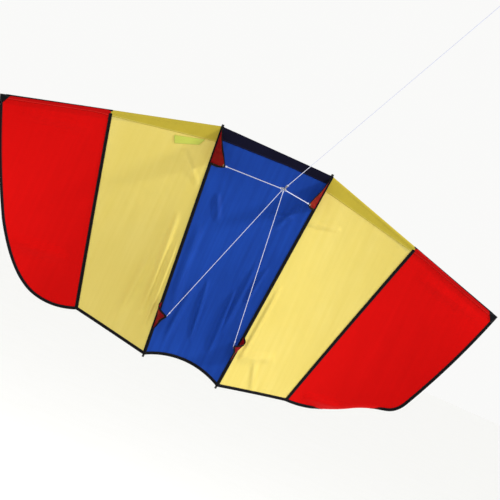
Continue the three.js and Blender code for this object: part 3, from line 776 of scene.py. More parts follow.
def add_centre_hem():
    def place(u, v):
        inset, behind, reach = hem_section(v)
        p = centre_plan(u, centre_foot(u) + inset)
        return on_sail(1, p, -behind), (p.x, reach)

    hem = cloth_grid("centre_hem", 96, 14, place, HEM_THICK, edge_tape)
    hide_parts("binding_centre")
    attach(hem, "centre")


def add_wing_hems(name, side):
    def inner(u, v):
        inset, behind, reach = hem_section(v)
        share = ease_columns(u if side > 0 else 1.0 - u)
        start = meet(TRAILING, inset, HINGE, 0.0)
        p = start.lerp(meet(TRAILING, inset, SEAM, 0.0), share)
        return on_sail(side, p, -behind), (p.x, reach)

    def outer(u, v):
        inset, behind, reach = hem_section(v)
        share = (u if side > 0 else 1.0 - u) * EDGE_STOP
        p, rolled = edge_point(side, share, max(inset, 0.0))
        angle = max(roll_length(side, share) - inset, 0.0) / ROLL_RADIUS
        _, inward = edge_sample(side, share)
        point = on_sail(side, p, -behind * math.cos(angle))
        point.y += rolled
        shift = inward * (-behind * math.sin(angle) + min(inset, 0.0))
        point += Vector((side * shift.x, 0.0, shift.y))
        return point, (share * EDGES[side][1][-1], reach)

    inner_hem = cloth_grid("inner_hem_" + name, 96, 14, inner, HEM_THICK, edge_tape)
    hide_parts("binding_inner_" + name)
    bend_at_hinge(inner_hem)
    outer_hem = cloth_grid("outer_hem_" + name, 200, 14, outer, HEM_THICK, edge_tape)
    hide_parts("binding_tip_" + name)
    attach(outer_hem, "wing_" + name)


def add_leading_binding(name, side):
    """Black tape wraps the back of the red panel's leading edge and shows along its top."""
    start, end = SEAM_AT - 0.004, CAP_AT - 0.001

    def place(u, v):
        share = u if side > 0 else 1.0 - u
        distance = start + (end - start) * share
        forward = math.radians(34.0 + 34.0 * share)
        angle = math.pi / 2 - forward + v * (math.pi * 0.5 + forward)
        radius = POCKET_R + 0.0006
        down = POCKET_R - radius * math.sin(angle)
        p = LEADING.at(distance, down)
        point = SAIL + Vector((side * p.x, ROD_BEHIND - radius * math.cos(angle), p.y))
        return point, (side * distance, v * HEM)

    binding = cloth_grid("leading_binding_" + name, 90, 16, place, TAPE_THICK, edge_tape)
    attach(binding, "wing_" + name)


def add_tip_patch(name, side):
    """A patch of the same tape folded over the tip, where the spar's cap pushes the cloth tight."""
    edge_end, _ = edge_point(side, EDGE_STOP, 0.0)
    edge_start, _ = edge_point(side, PATCH_EDGE, 0.0)
    corners = (LEADING.at(LEADING.length - PATCH_LENGTH, 0.0002), edge_start,
               LEADING.at(LEADING.length, 0.0002), edge_end.lerp(TIP, 0.7))

    def place(u, v):
        across = u if side > 0 else 1.0 - u
        start = corners[0].lerp(corners[2], across)
        end = corners[1].lerp(corners[3], across)
        p = start.lerp(end, v)
        crown = 0.0006 * math.sin(math.pi * v)
        return on_sail(side, p, 0.0013 + crown), (u * PATCH_LENGTH, v * HEM)

    patch = cloth_grid("tip_patch_" + name, 20, 16, place, TAPE_THICK, edge_tape)
    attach(patch, "wing_" + name)


add_centre_hem()
for name, side in SIDES:
    add_tip_patch(name, side)
    inner_tape = tape_on_line("long_seam_tape_" + name, side, HINGE, 0.0003, HINGE.length - 0.001,
                              "seam_tape_inner_" + name)
    bend_at_hinge(inner_tape)
    outer_tape = tape_on_line("wing_seam_tape_" + name, side, SEAM, 0.0003, SEAM.length - 0.001,
                              "seam_tape_outer_" + name)
    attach(outer_tape, "wing_" + name)
    add_wing_hems(name, side)
    add_leading_binding(name, side)

# ---------------------------------------------------------------------------
# The label.
# A plain lime satin tab sewn into the pocket's seam on the left wing, with
# nothing printed on it.
# ---------------------------------------------------------------------------
lime_satin, tree, output = new_material("lime_satin_ribbon")
place = add_node(tree, "ShaderNodeTexCoord")
satin = add_node(tree, "ShaderNodeTexWave", {"Vector": place.outputs["UV"], "Scale": 300.0},
                 bands_direction="Y")
tone = add_node(tree, "ShaderNodeTexNoise", {"Vector": place.outputs["UV"], "Scale": 40.0})
colour = add_node(tree, "ShaderNodeMix", {"Factor": tone.outputs["Fac"], "A": linear(0xA9B234),
                                          "B": linear(0xB4BC40)}, data_type="RGBA")
bump = add_node(tree, "ShaderNodeBump", {"Height": satin.outputs["Fac"], "Strength": 0.2,
                                         "Distance": 0.0002})
shader = add_node(tree, "ShaderNodeBsdfPrincipled", {"Base Color": colour.outputs["Result"], "Roughness": 0.4,
                                                     "Sheen Weight": 0.3, "Normal": bump.outputs["Normal"]})
tree.links.new(shader.outputs["BSDF"], output.inputs["Surface"])
LABEL_START, LABEL_WIDTH, LABEL_DROP = 0.194, 0.082, 0.020
LABEL_DOWN, LABEL_TAPER = 0.052, 0.010


def label_plan(u, v):
    along = LABEL_WIDTH * (1.0 - u)
    taper = LABEL_TAPER * v * (2.0 * u - 1.0)
    slope = LEADING.dir.y / LEADING.dir.x
    return Vector((LABEL_START + along + taper, slope * along - LABEL_DOWN - LABEL_DROP * v))


def label_point(u, v):
    p = label_plan(u, v)
    return on_sail(-1, p, 0.0010 + 0.0008 * math.sin(math.pi * v)), (p.x, p.y)


label = cloth_grid("lime_label", 30, 14, label_point, HEM_THICK, lime_satin)
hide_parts("care_label")
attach(label, "wing_left")

# ---------------------------------------------------------------------------
# The keels.
# Four small triangles of red taffeta sewn into the long seams, black tape on
# their free edges.  The upper pair is pulled nearly flat by the bridle; the
# lower pair flutters, and its upper part bulges outwards.
# ---------------------------------------------------------------------------
# The keels are the panels' red cloth; their darker red is painted shade, for keels that stand in shadow.
keel_taffeta_painted_shade = taffeta("keel_red_taffeta_painted_shade", 0x9A0816, 0x6E020C, 0xB00A14)
TOW = Vector((0.0, 0.0, 0.0))
KEEL_PROUD = 0.0018
EDGING_SCALE = 0.80
KEELS = {
    "upper": {"top": 0.005, "foot": 0.107, "tip": 0.106, "height": 0.092, "belly": 0.008, "flutter": 0.004},
    "lower": {"top": 0.500, "foot": 0.582, "tip": 0.538, "height": 0.057, "belly": 0.005, "flutter": 0.019},
}


def keel_frame(side):
    base = SAIL + Vector((side * CORNER.x, -KEEL_PROUD, CORNER.y))
    down = Vector((side * HINGE.dir.x, 0.0, HINGE.dir.y))
    towards = TOW - base
    towards = (towards - down * towards.dot(down)).normalized()
    return base, down, towards, down.cross(towards)


def outward_of(normal, side):
    return normal * (1.0 if normal.x * side > 0 else -1.0)


def keel_plan(keel, u, v):
    """u runs from the upper edge to the lower edge, v from the seam to the point."""
    blunt = 0.0035
    upper = Vector((keel["top"], 0.0)).lerp(Vector((keel["tip"] - blunt, keel["height"])), v)
    a = Vector((keel["foot"], 0.0))
    c = Vector((keel["tip"], keel["height"]))
    b = a.lerp(c, 0.5) + Vector((keel["belly"], 0.0))
    lower = a.lerp(b, v).lerp(b.lerp(c, v), v)
    return upper.lerp(lower, u)


def keel_bend(keel, plan):
    """The wind pushes the slack upper part outwards and the lower part stays in line."""
    height = plan.y / keel["height"]
    along = (plan.x - keel["top"]) / (keel["foot"] - keel["top"])
    bulge = math.sin(math.pi * min(max(height, 0.0), 1.0))
    swing = math.cos(math.pi * min(max(along, 0.0), 1.0))
    return keel["flutter"] * bulge * (0.5 + 0.5 * swing)


def keel_space(keel, side, plan, aside=0.0):
    base, down, towards, normal = keel_frame(side)
    bend = keel_bend(keel, plan) + aside
    return base + down * plan.x + towards * plan.y + outward_of(normal, side) * bend


def add_keel(row, name, side, keel):
    def cloth(u, v):
        plan = keel_plan(keel, u, 0.99 * v)
        return keel_space(keel, side, plan), (plan.x, plan.y)

    def edging(u, v):
        # The tape runs down the upper edge, round the point and back along the lower edge.
        reach = 2.0 * u
        point = keel_plan(keel, 0.0, reach) if reach < 1.0 else keel_plan(keel, 1.0, 2.0 - reach)
        middle = keel_plan(keel, 0.5, 0.35)
        inward = (middle - point).normalized()
        inset, behind, girth = hem_section(v)
        plan = point + inward * inset * EDGING_SCALE
        return keel_space(keel, side, plan, behind), (reach * 0.1, girth)

    piece = cloth_grid("keel_cloth_%s_%s" % (row, name), 36, 40, cloth, CLOTH, keel_taffeta_painted_shade)
    tape = cloth_grid("keel_edging_%s_%s" % (row, name), 100, 14, edging, HEM_THICK, edge_tape)
    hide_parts("keel_%s_%s" % (row, name))
    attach(piece, "centre")
    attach(tape, "centre")


for name, side in SIDES:
    for row, keel in KEELS.items():
        add_keel(row, name, side, keel)

# ---------------------------------------------------------------------------
# Rods.
# Pultruded carbon tube: three spars along the leading edge, and two thinner
# longerons behind the long seams in cloth sleeves.
# ---------------------------------------------------------------------------
SPAR_R = 0.003
LONGERON_R = 0.002
SPAR_DOWN = 0.0054
RING_TOP = 0.001
RING_HEIGHT = 0.007
HUB_TOP = RING_TOP + RING_HEIGHT + 0.0006
RING_INNER, RING_OUTER = 0.0023, 0.0037
SOCKET_INNER, SOCKET_OUTER = 0.0033, 0.0044
SOCKET_START, SOCKET_LENGTH, SOCKET_FLOOR = 0.007, 0.025, 0.0025
TAIL_CAP, TAIL_OUT, CAP_FLOOR = 0.016, 0.007, 0.004
TOP_CAP, TOP_FLOOR = 0.006, 0.003
FIT_GAP = 0.0003
ROD_PAST = 0.002
NECK_R, NECK_START = 0.0021, 0.002
BLOCK_DEEP, BLOCK_EASE = 0.0052, 0.0006
ROUND_SIDES = 40


def plain_finish(name, colour, worn, roughness, metallic=0.0, scale=60.0, stretch=(1.0, 1.0, 1.0), bump=0.05):
    """A moulded, drawn or plated finish whose colour and gloss vary a little over the piece."""
    material, tree, output = new_material(name)
    place = add_node(tree, "ShaderNodeTexCoord")
    mapped = add_node(tree, "ShaderNodeMapping", {"Vector": place.outputs["Object"], "Scale": stretch})
    grain = add_node(tree, "ShaderNodeTexNoise", {"Vector": mapped.outputs["Vector"], "Scale": scale,
                                                  "Detail": 4.0})
    tone = add_node(tree, "ShaderNodeMix", {"Factor": grain.outputs["Fac"], "A": linear(colour),
                                            "B": linear(worn)}, data_type="RGBA")
    gloss = add_node(tree, "ShaderNodeMapRange", {"Value": grain.outputs["Fac"], "To Min": roughness - 0.08,
                                                  "To Max": roughness + 0.12})
    dent = add_node(tree, "ShaderNodeBump", {"Height": grain.outputs["Fac"], "Strength": bump,
                                             "Distance": 0.0002})
    shader = add_node(tree, "ShaderNodeBsdfPrincipled",
                      {"Base Color": tone.outputs["Result"], "Roughness": gloss.outputs["Result"],
                       "Metallic": metallic, "Normal": dent.outputs["Normal"]})
    tree.links.new(shader.outputs["BSDF"], output.inputs["Surface"])
    return material


def aim_along(origin, axis):
    """The place of a piece that is made along +Z."""
    return Matrix.Translation(origin) @ axis.to_track_quat("Z", "Y").to_matrix().to_4x4()


def settle(obj, name, place, material):
    """Puts a piece's place into its mesh, so that the object itself stays at the origin."""
    obj.name = name
    obj.data.transform(place)
    obj.data.materials.clear()
    obj.data.materials.append(material)
    deselect_all()
    obj.select_set(True)
    bpy.context.view_layer.objects.active = obj
    bpy.ops.object.shade_smooth_by_angle(angle=math.radians(40))
    return obj


def lathe(rings, sides=ROUND_SIDES, closed=False):
    """Extrudes a circle through (radius, height) rings.  Closed joins the last ring to the first."""
    deselect_all()
    radius, height = rings[0]
    fill = "NOTHING" if closed else "NGON"
    bpy.ops.mesh.primitive_circle_add(vertices=sides, radius=radius, location=(0.0, 0.0, height),
                                      fill_type=fill)
    obj = bpy.context.object
    bpy.ops.object.transform_apply(location=True, rotation=False, scale=False)
    bpy.ops.object.mode_set(mode="EDIT")
    bpy.ops.mesh.select_all(action="SELECT")
    for new_radius, new_height in list(rings[1:]) + ([rings[0]] if closed else []):
        if closed:
            bpy.ops.mesh.extrude_edges_move()
        else:
            bpy.ops.mesh.extrude_region_move()
        share = new_radius / radius
        bpy.ops.transform.resize(value=(share, share, 1.0), center_override=(0.0, 0.0, height))
        bpy.ops.transform.translate(value=(0.0, 0.0, new_height - height))
        radius, height = new_radius, new_height
    bpy.ops.mesh.select_all(action="SELECT")
    bpy.ops.mesh.remove_doubles(threshold=1e-6)
    bpy.ops.mesh.normals_make_consistent(inside=False)
    bpy.ops.object.mode_set(mode="OBJECT")
    return obj


def rod_rings(radius, length, ease=0.0004):
    return [(radius - ease, 0.0), (radius, ease), (radius, length - ease), (radius - ease, length)]


def cap_rings(inner, outer, length, floor, ease=0.0007):
    """A blind cap: open at the start, closed and rounded at the far end."""
    return [(outer - ease, length), (outer, length - ease), (outer, ease * 0.4), (outer - ease * 0.4, 0.0),
            (inner + ease * 0.3, 0.0), (inner, ease * 0.3), (inner, length - floor)]


def sail_point(side, p, behind=ROD_BEHIND):
    return SAIL + Vector((side * p.x, behind, p.y))


def way(line, side):
    return Vector((side * line.dir.x, 0.0, line.dir.y))


carbon_tube = plain_finish("pultruded_carbon_tube", 0x141517, 0x24262A, 0.34, stretch=(1.0, 1.0, 40.0))


def add_rod(name, node, radius, start, axis, length, body):
    rod = settle(lathe(rod_rings(radius, length)), name, aim_along(start, axis), carbon_tube)
    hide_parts(node)
    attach(rod, body)


SPAR_START = SOCKET_START + SOCKET_FLOOR + FIT_GAP
SPAR_HALF = CORNER.x - SPAR_START
CAP_END = HINGE.length + TAIL_OUT
add_rod("centre_rod", "spar_centre", SPAR_R, SAIL + Vector((-SPAR_HALF, ROD_BEHIND, -SPAR_DOWN)),
        Vector((1.0, 0.0, 0.0)), 2.0 * SPAR_HALF, "centre")
for name, side in SIDES:
    add_rod("wing_rod_" + name, "spar_" + name, SPAR_R, sail_point(side, LEADING.at(SPAR_START, SPAR_DOWN)),
            way(LEADING, side), LEADING.length - CAP_FLOOR - FIT_GAP - SPAR_START, "wing_" + name)
    add_rod("longeron_rod_" + name, "longeron_" + name, LONGERON_R, sail_point(side, HINGE.at(-ROD_PAST)),
            way(HINGE, side), CAP_END - CAP_FLOOR - FIT_GAP + ROD_PAST, "centre")

# ---------------------------------------------------------------------------
# Sleeves, caps and fittings.
# Black woven tunnels hold the longerons.  Soft black vinyl caps close every
# rod, a hub joins each longeron to the middle spar, and each wing's fitting
# turns on its longeron just above the hub.
# ---------------------------------------------------------------------------
black_vinyl = plain_finish("moulded_black_vinyl", 0x0C0C0E, 0x1A1A1C, 0.48, scale=140.0, bump=0.12)


def add_sleeve(name, side):
    """The tunnel's cloth hugs the rod behind and is sewn flat to the seam in front."""
    top, end = HUB_TOP + RING_HEIGHT + 0.001, CAP_END - TAIL_CAP - 0.002

    def place(u, v):
        angle = math.radians(-118.0 + 236.0 * u)
        radius = LONGERON_R + 0.0008 + 0.00025 * noise.noise(Vector((v * 60.0, u * 3.0, side)))
        ends = max(abs(2.0 * u - 1.0) - 0.8, 0.0) * 5.0
        aside = radius * math.sin(angle) + ends * 0.0012 * math.copysign(1.0, u - 0.5)
        behind = radius * math.cos(angle) * (1.0 - ends) - ends * (ROD_BEHIND - 0.0011)
        p = HINGE.at(top + (end - top) * v, aside - 0.0002)
        return sail_point(side, p, ROD_BEHIND + behind), (v * (end - top), u * 2 * TAPE_HALF)

    sleeve = cloth_grid("longeron_tunnel_" + name, 28, 220, place, TAPE_THICK, seam_tape)
    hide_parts("longeron_sleeve_" + name)
    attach(sleeve, "centre")


def boolean(target, others, operation):
    """Joins the others to the target or cuts them from it, and uses them up."""
    deselect_all()
    bpy.context.view_layer.objects.active = target
    target.select_set(True)
    for other in others:
        step = target.modifiers.new("step", "BOOLEAN")
        step.operation = operation
        step.solver = "EXACT"
        step.object = other
        bpy.ops.object.modifier_apply(modifier=step.name)
        bpy.data.objects.remove(other)
    return target


def placed(obj, place):
    obj.data.transform(place)
    return obj


def rounded_block(size, place, ease):
    deselect_all()
    bpy.ops.mesh.primitive_cube_add(size=1.0)
    obj = bpy.context.object
    obj.data.transform(place @ Matrix.Diagonal((size[0], size[1], size[2], 1.0)))
    soft = obj.modifiers.new("ease", "BEVEL")
    soft.width = ease
    soft.segments = 3
    bpy.ops.object.modifier_apply(modifier=soft.name)
    return obj


def add_fittings(name, side):
    """One side's turning fitting and hub, and the vinyl caps on the ends of its rods."""
    axis, out, inwards = way(HINGE, side), way(LEADING, side), Vector((-side, 0.0, 0.0))
    socket_x = CORNER.x - SOCKET_START

    def on_longeron(distance):
        return sail_point(side, HINGE.at(distance))

    def on_spar(distance):
        return sail_point(side, LEADING.at(distance, SPAR_DOWN))

    def socket_at(x):
        return sail_point(side, Vector((x, -SPAR_DOWN)))

    ring = placed(lathe(rod_rings(RING_OUTER, RING_HEIGHT)), aim_along(on_longeron(RING_TOP), axis))
    neck = placed(lathe(rod_rings(NECK_R, SOCKET_START)), aim_along(on_spar(NECK_START), out))
    socket = placed(lathe(rod_rings(SOCKET_OUTER, SOCKET_LENGTH)), aim_along(on_spar(SOCKET_START), out))
    bore = placed(lathe([(RING_INNER, 0.0), (RING_INNER, 2 * RING_HEIGHT)]),
                  aim_along(on_longeron(RING_TOP - RING_HEIGHT / 2), axis))
    spar_bore = placed(lathe([(SOCKET_INNER, 0.0), (SOCKET_INNER, SOCKET_LENGTH)]),
                       aim_along(on_spar(SOCKET_START + SOCKET_FLOOR), out))
    fitting = boolean(boolean(ring, [neck, socket], "UNION"), [bore, spar_bore], "DIFFERENCE")
    settle(fitting, "turning_fitting_" + name, Matrix.Identity(4), black_vinyl)
    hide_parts("wing_fitting_" + name)
    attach(fitting, "wing_" + name)

    hub_ring = placed(lathe(rod_rings(RING_OUTER, RING_HEIGHT)), aim_along(on_longeron(HUB_TOP), axis))
    hub_socket = placed(lathe(rod_rings(SOCKET_OUTER, SOCKET_LENGTH)),
                        aim_along(socket_at(socket_x), inwards))
    length = SOCKET_START + SOCKET_LENGTH / 2
    middle = Vector((CORNER.x - NECK_START - length / 2, -HUB_TOP - RING_HEIGHT / 2))
    block = rounded_block((length, BLOCK_DEEP, RING_HEIGHT - BLOCK_EASE),
                          Matrix.Translation(sail_point(side, middle)), BLOCK_EASE)
    hub_bore = placed(lathe([(RING_INNER, 0.0), (RING_INNER, 2 * RING_HEIGHT)]),
                      aim_along(on_longeron(HUB_TOP - RING_HEIGHT / 2), axis))
    hub_spar_bore = placed(lathe([(SOCKET_INNER, 0.0), (SOCKET_INNER, SOCKET_LENGTH)]),
                           aim_along(socket_at(socket_x - SOCKET_FLOOR), inwards))
    hub = boolean(boolean(hub_ring, [block, hub_socket], "UNION"), [hub_bore, hub_spar_bore], "DIFFERENCE")
    settle(hub, "hub_" + name, Matrix.Identity(4), black_vinyl)
    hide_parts("corner_hub_" + name)
    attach(hub, "centre")

    caps = (("top_cap_", "longeron_top_cap_", RING_INNER, RING_OUTER, TOP_CAP, TOP_FLOOR,
             on_longeron(RING_TOP - FIT_GAP), -axis, "centre"),
            ("tail_cap_", "longeron_tail_cap_", RING_INNER, RING_OUTER - 0.0006, TAIL_CAP, CAP_FLOOR,
             on_longeron(CAP_END - TAIL_CAP), axis, "centre"),
            ("wing_tip_cap_", "tip_cap_", SOCKET_INNER, SOCKET_OUTER, TIP_CAP, CAP_FLOOR,
             on_spar(LEADING.length - TIP_CAP), out, "wing_" + name))
    for piece, node, inner, outer, size, floor_thick, at, towards, body in caps:
        cap = settle(lathe(cap_rings(inner, outer, size, floor_thick)), piece + name,
                     aim_along(at, towards), black_vinyl)
        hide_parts(node + name)
        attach(cap, body)


for name, side in SIDES:
    add_sleeve(name, side)
    add_fittings(name, side)

# ---------------------------------------------------------------------------
# Eyelets and the four-leg bridle.
# A nickel eyelet is rolled into each keel.  Braided white cord is knotted
# through it and runs to the tow ring, thicker on the upper pair.
# ---------------------------------------------------------------------------
nickel_plate = plain_finish("nickel_plate", 0x9A9CA0, 0x7C7E83, 0.30, metallic=1.0, scale=220.0)
EYELET_INSET = 0.0105
LINE_ANGLE = math.radians(13.5)
TOW_RING_R, TOW_WIRE_R = 0.006, 0.0012
FLANGE_TOP = 0.0012
CORD_GAP = 0.0006
KNOT_LENGTH = 0.0055
UPPER_LEG_R, LOWER_LEG_R = 0.0010, 0.00075
UPPER_TURN, LOWER_TURN = math.radians(36.0), math.radians(12.0)


def braided_cord(name, light, deep):
    """Braided polyester: plaits cross in a fine diamond relief, soft and almost white."""
    material, tree, output = new_material(name)
    place = add_node(tree, "ShaderNodeTexCoord")
    one = add_node(tree, "ShaderNodeTexWave", {"Vector": place.outputs["Object"], "Scale": 420.0},
                   bands_direction="DIAGONAL")
    two = add_node(tree, "ShaderNodeTexVoronoi", {"Vector": place.outputs["Object"], "Scale": 900.0})
    plait = add_node(tree, "ShaderNodeMath", {0: one.outputs["Fac"], 1: two.outputs["Distance"]},
                     operation="MULTIPLY")
    tone = add_node(tree, "ShaderNodeMix", {"Factor": plait.outputs["Value"], "A": linear(deep),
                                            "B": linear(light)}, data_type="RGBA")
    bump = add_node(tree, "ShaderNodeBump", {"Height": plait.outputs["Value"], "Strength": 0.4,
                                             "Distance": 0.0002})
    shader = add_node(tree, "ShaderNodeBsdfPrincipled", {"Base Color": tone.outputs["Result"],
                                                         "Roughness": 0.8, "Sheen Weight": 0.2,
                                                         "Normal": bump.outputs["Normal"]})
    tree.links.new(shader.outputs["BSDF"], output.inputs["Surface"])
    return material


white_braid = braided_cord("white_braided_polyester", 0xDCDFEE, 0xB8BCD4)


def cord_curve(name, points, radius):
    curve = bpy.data.curves.new(name, "CURVE")
    curve.dimensions = "3D"
    curve.bevel_depth = radius
    curve.bevel_resolution = 4
    curve.use_fill_caps = True
    spline = curve.splines.new("POLY")
    spline.points.add(len(points) - 1)
    for target, point in zip(spline.points, points):
        target.co = (point.x, point.y, point.z, 1.0)
    obj = bpy.data.objects.new(name, curve)
    bpy.context.scene.collection.objects.link(obj)
    curve.materials.append(white_braid)
    return obj


def wrapped_knot(name, centre, axis, radius, core, turns=4):
    """A knot as wraps of the same cord side by side round its own standing part."""
    place = aim_along(centre - axis * KNOT_LENGTH / 2, axis)
    steps = 26 * turns
    points = []
    for i in range(steps + 1):
        share = i / steps
        angle = 2.0 * math.pi * turns * share
        swell = core + radius * (0.9 + 0.25 * math.sin(math.pi * share))
        points.append(place @ Vector((swell * math.cos(angle), swell * math.sin(angle), KNOT_LENGTH * share)))
    return cord_curve(name, points, radius)


def eyelet_spot(keel):
    point = Vector((keel["tip"], keel["height"]))
    to_top = (Vector((keel["top"], 0.0)) - point).normalized()
    to_foot = (Vector((keel["foot"], 0.0)) - point).normalized()
    return point + (to_top + to_foot).normalized() * EYELET_INSET


def eyelet_centre(keel, side):
    base, down, towards, normal = keel_frame(side)
    spot = eyelet_spot(keel)
    return base + down * spot.x + towards * spot.y, normal, outward_of(normal, side)


def ring_spot(side, turn):
    flat = Vector((side * math.sin(turn), math.cos(turn), 0.0)) * TOW_RING_R
    return Matrix.Rotation(-LINE_ANGLE, 4, "X") @ flat


def add_leg(row, name, side, keel, radius, turn):
    centre, normal, outward = eyelet_centre(keel, side)
    grommet = settle(lathe([(0.0016, -0.0008), (0.0019, -0.00115), (0.0030, -0.00118), (0.0037, -0.0008),
                            (0.0036, -0.0005), (0.0024, -0.0004), (0.0024, 0.0004), (0.0036, 0.0005),
                            (0.0037, 0.0008), (0.0030, 0.00118), (0.0019, 0.00115), (0.0016, 0.0008)],
                           closed=True), "eyelet_%s_%s" % (row, name), aim_along(centre, normal),
                     nickel_plate)
    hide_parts("keel_eyelet_%s_%s" % (row, name))
    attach(grommet, "centre")

    start = centre - outward * (FLANGE_TOP + CORD_GAP + radius)
    spot = ring_spot(side, turn)
    towards_keel = (start - spot).normalized()
    end = spot + towards_keel * (TOW_WIRE_R + CORD_GAP)
    points = [start.lerp(end, i / 24) for i in range(25)]
    leg = cord_curve("bridle_leg_%s_%s" % (row, name), points, radius)
    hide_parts("bridle_%s_%s" % (row, name))
    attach(leg, "centre")
    keel_knot = wrapped_knot("keel_knot_%s_%s" % (row, name), start.lerp(end, 0.035), -towards_keel,
                             radius * 0.6, radius)
    ring_knot = wrapped_knot("ring_knot_%s_%s" % (row, name), end + towards_keel * KNOT_LENGTH, -towards_keel,
                             radius * 0.6, radius)
    for knot in (keel_knot, ring_knot):
        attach(knot, "centre")


for name, side in SIDES:
    add_leg("upper", name, side, KEELS["upper"], UPPER_LEG_R, UPPER_TURN)
    add_leg("lower", name, side, KEELS["lower"], LOWER_LEG_R, LOWER_TURN)

# ---------------------------------------------------------------------------
# The tow ring, the snap swivel and the flying line.
# A welded nickel ring takes the four legs.  A wire snap hooks it, its barrel
# lets the line turn, and the line is tied to its eye.  The gate's ball stands
# clear of the snap's lug, as it does in the frame: the real one is looped on.
# ---------------------------------------------------------------------------
LINE_DIR = Vector((0.0, -math.cos(LINE_ANGLE), math.sin(LINE_ANGLE)))
LINE_UP = Vector((0.0, math.sin(LINE_ANGLE), math.cos(LINE_ANGLE)))
CLIP_WIRE, CLIP_HALF, GATE_WIRE = 0.0007, 0.003, 0.0006
BEND, GATE_TIP, GATE_PIVOT, CLIP_REAR = 0.0038, 0.0093, 0.0208, 0.0238
BARREL_AT, BARREL_LENGTH, BARREL_R, EYE_AT = 0.0253, 0.009, 0.0025, 0.0393
KNOT_AT, LINE_AT, LINE_END = 0.0433, 0.0491, 1.7000
LOOP_AT, LOOP_R, LINE_R = 1.72085, 0.014, 0.00075
GATE_BALL_R, EYE_R = 0.00095, 0.003
SHANK_LENGTH, WIRE_EASE, WIRE_SIDES = 0.0050, 0.0002, 20


def on_line(distance, height=0.0):
    return LINE_DIR * distance + LINE_UP * height


def bent_wire(name, points, radius, body, node=None):
    """Spring wire, drawn as one smooth path and turned into a mesh."""
    deselect_all()
    bpy.ops.curve.primitive_nurbs_path_add()
    obj = bpy.context.object
    spline = obj.data.splines[0]
    spline.points.add(max(len(points) - len(spline.points), 0))
    for target, point in zip(spline.points, points):
        target.co = (point.x, point.y, point.z, 1.0)
    spline.order_u = 3
    spline.use_endpoint_u = True
    obj.data.bevel_depth = radius
    obj.data.bevel_resolution = 5
    obj.data.resolution_u = 10
    obj.data.use_fill_caps = True
    bpy.ops.object.convert(target="MESH")
    wire = settle(bpy.context.object, name, Matrix.Identity(4), nickel_plate)
    if node:
        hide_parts(node)
    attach(wire, body)


def add_ring(name, major, minor, centre, node, body, material):
    deselect_all()
    bpy.ops.mesh.primitive_torus_add(major_radius=major, minor_radius=minor, major_segments=64,
                                     minor_segments=20)
    ring = settle(bpy.context.object, name, aim_along(centre, LINE_UP), material)
    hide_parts(node)
    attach(ring, body)
    return ring


add_ring("welded_tow_ring", TOW_RING_R, TOW_WIRE_R, Vector((0.0, 0.0, 0.0)), "tow_ring", "centre",
         nickel_plate)
bent_wire("snap_wire", [on_line(0.0080, CLIP_HALF), on_line(0.0065, CLIP_HALF), on_line(0.0042, 0.0026),
                        on_line(BEND, 0.0), on_line(0.0042, -0.0026), on_line(0.0065, -CLIP_HALF),
                        on_line(0.0120, -CLIP_HALF), on_line(GATE_PIVOT - 0.002, -CLIP_HALF),
                        on_line(GATE_PIVOT + 0.0012, -0.0022), on_line(CLIP_REAR, 0.0),
                        on_line(CLIP_REAR + 0.005, 0.0)], CLIP_WIRE, "centre", "snap_clip")
bent_wire("snap_lug", [on_line(CLIP_REAR, 0.0), on_line(0.0228, 0.0004), on_line(0.0224, 0.0008),
                       on_line(0.0221, 0.0009), on_line(0.0220, 0.0010)], CLIP_WIRE, "centre")
gate = settle(lathe(rod_rings(GATE_WIRE, GATE_PIVOT - GATE_TIP, WIRE_EASE), WIRE_SIDES), "sprung_gate",
              aim_along(on_line(GATE_TIP, CLIP_HALF), LINE_DIR), nickel_plate)
deselect_all()
bpy.ops.mesh.primitive_uv_sphere_add(segments=24, ring_count=14, radius=GATE_BALL_R)
gate_ball = settle(bpy.context.object, "gate_ball", Matrix.Translation(on_line(GATE_PIVOT, CLIP_HALF)),
                   nickel_plate)
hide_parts("snap_gate")
for piece in (gate, gate_ball):
    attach(piece, "gate")
barrel = settle(lathe([(0.0010, 0.0), (0.0017, 0.0), (0.0022, 0.0006), (BARREL_R, 0.0016), (BARREL_R, 0.0040),
                       (0.0023, 0.0043), (0.0023, 0.0047), (BARREL_R, 0.0050), (BARREL_R, 0.0074),
                       (0.0022, 0.0084), (0.0017, BARREL_LENGTH), (0.0010, BARREL_LENGTH)], closed=True),
                "swivel_drum", aim_along(on_line(BARREL_AT), LINE_DIR), nickel_plate)
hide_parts("swivel_barrel")
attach(barrel, "centre")
add_ring("line_eye", EYE_R, CLIP_WIRE, on_line(EYE_AT), "swivel_eye", "line", nickel_plate)
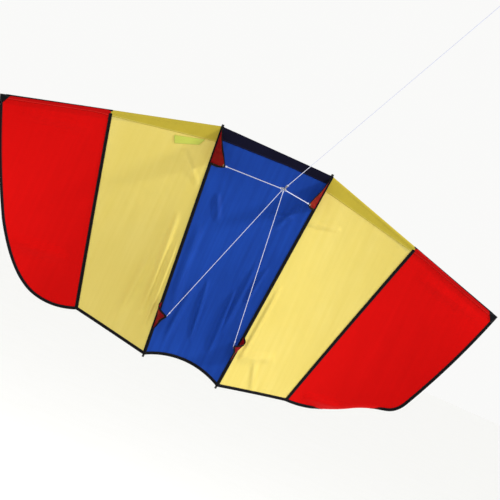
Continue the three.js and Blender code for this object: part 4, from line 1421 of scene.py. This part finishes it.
shank = settle(lathe(rod_rings(CLIP_WIRE, SHANK_LENGTH, WIRE_EASE), WIRE_SIDES), "eye_shank",
               aim_along(on_line(BARREL_AT + BARREL_LENGTH - SHANK_LENGTH / 2), LINE_DIR), nickel_plate)
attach(shank, "line")

line_points = [on_line(LINE_AT + (LINE_END - LINE_AT) * i / 60) for i in range(61)]
flying_line = cord_curve("braided_line", line_points, LINE_R)
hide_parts("flying_line")
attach(flying_line, "line")
first_knot = wrapped_knot("first_knot", on_line(KNOT_AT + KNOT_LENGTH / 2), LINE_DIR, 0.0006, 0.0006, 5)
end_knot = wrapped_knot("end_knot", on_line(LINE_END + FIT_GAP + KNOT_LENGTH / 2), LINE_DIR, 0.0006, 0.0006,
                        5)
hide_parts("line_knot")
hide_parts("line_end_knot")
end_loop = add_ring("end_loop", LOOP_R, LINE_R, on_line(LOOP_AT), "line_end_loop", "line", white_braid)
for knot in (first_knot, end_knot):
    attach(knot, "line")

# ---------------------------------------------------------------------------
# What each cloth is cut to.
# The outlines are drawn in plan from the kite's own corners and curves, and
# the area inside each is worked out.
# ---------------------------------------------------------------------------
CUT_STEPS = 48
steps = [i / CUT_STEPS for i in range(CUT_STEPS + 1)]
blue_cut = [Vector((-CORNER.x, 0.0)), CORNER] + [centre_plan(1.0 - u, centre_foot(u)) for u in steps]
declare_cut(blue_cut)


def unrolled_edge(side, share):
    """Where the red panel's edge lies when the curl is laid flat."""
    point, inward = edge_sample(side, share)
    curled = roll_length(side, share)
    return point - inward * (curled - curl_reach(curled))


for name, side in SIDES:
    declare_cut([CORNER, SEAM_TOP, SEAM_FOOT, FOOT])
    red_cut = [TIP, SEAM_TOP, SEAM_FOOT] + [unrolled_edge(side, share) for share in steps[1:-1]]
    declare_cut(red_cut)
    for row, keel in KEELS.items():
        keel_cut = [keel_plan(keel, 0.0, v) for v in steps] + [keel_plan(keel, 1.0, 1.0 - v) for v in steps]
        declare_cut(keel_cut)
label_cut = [label_plan(u, v) for u, v in ((0.0, 0.0), (1.0, 0.0), (1.0, 1.0), (0.0, 1.0))]
shoelace(label_cut)
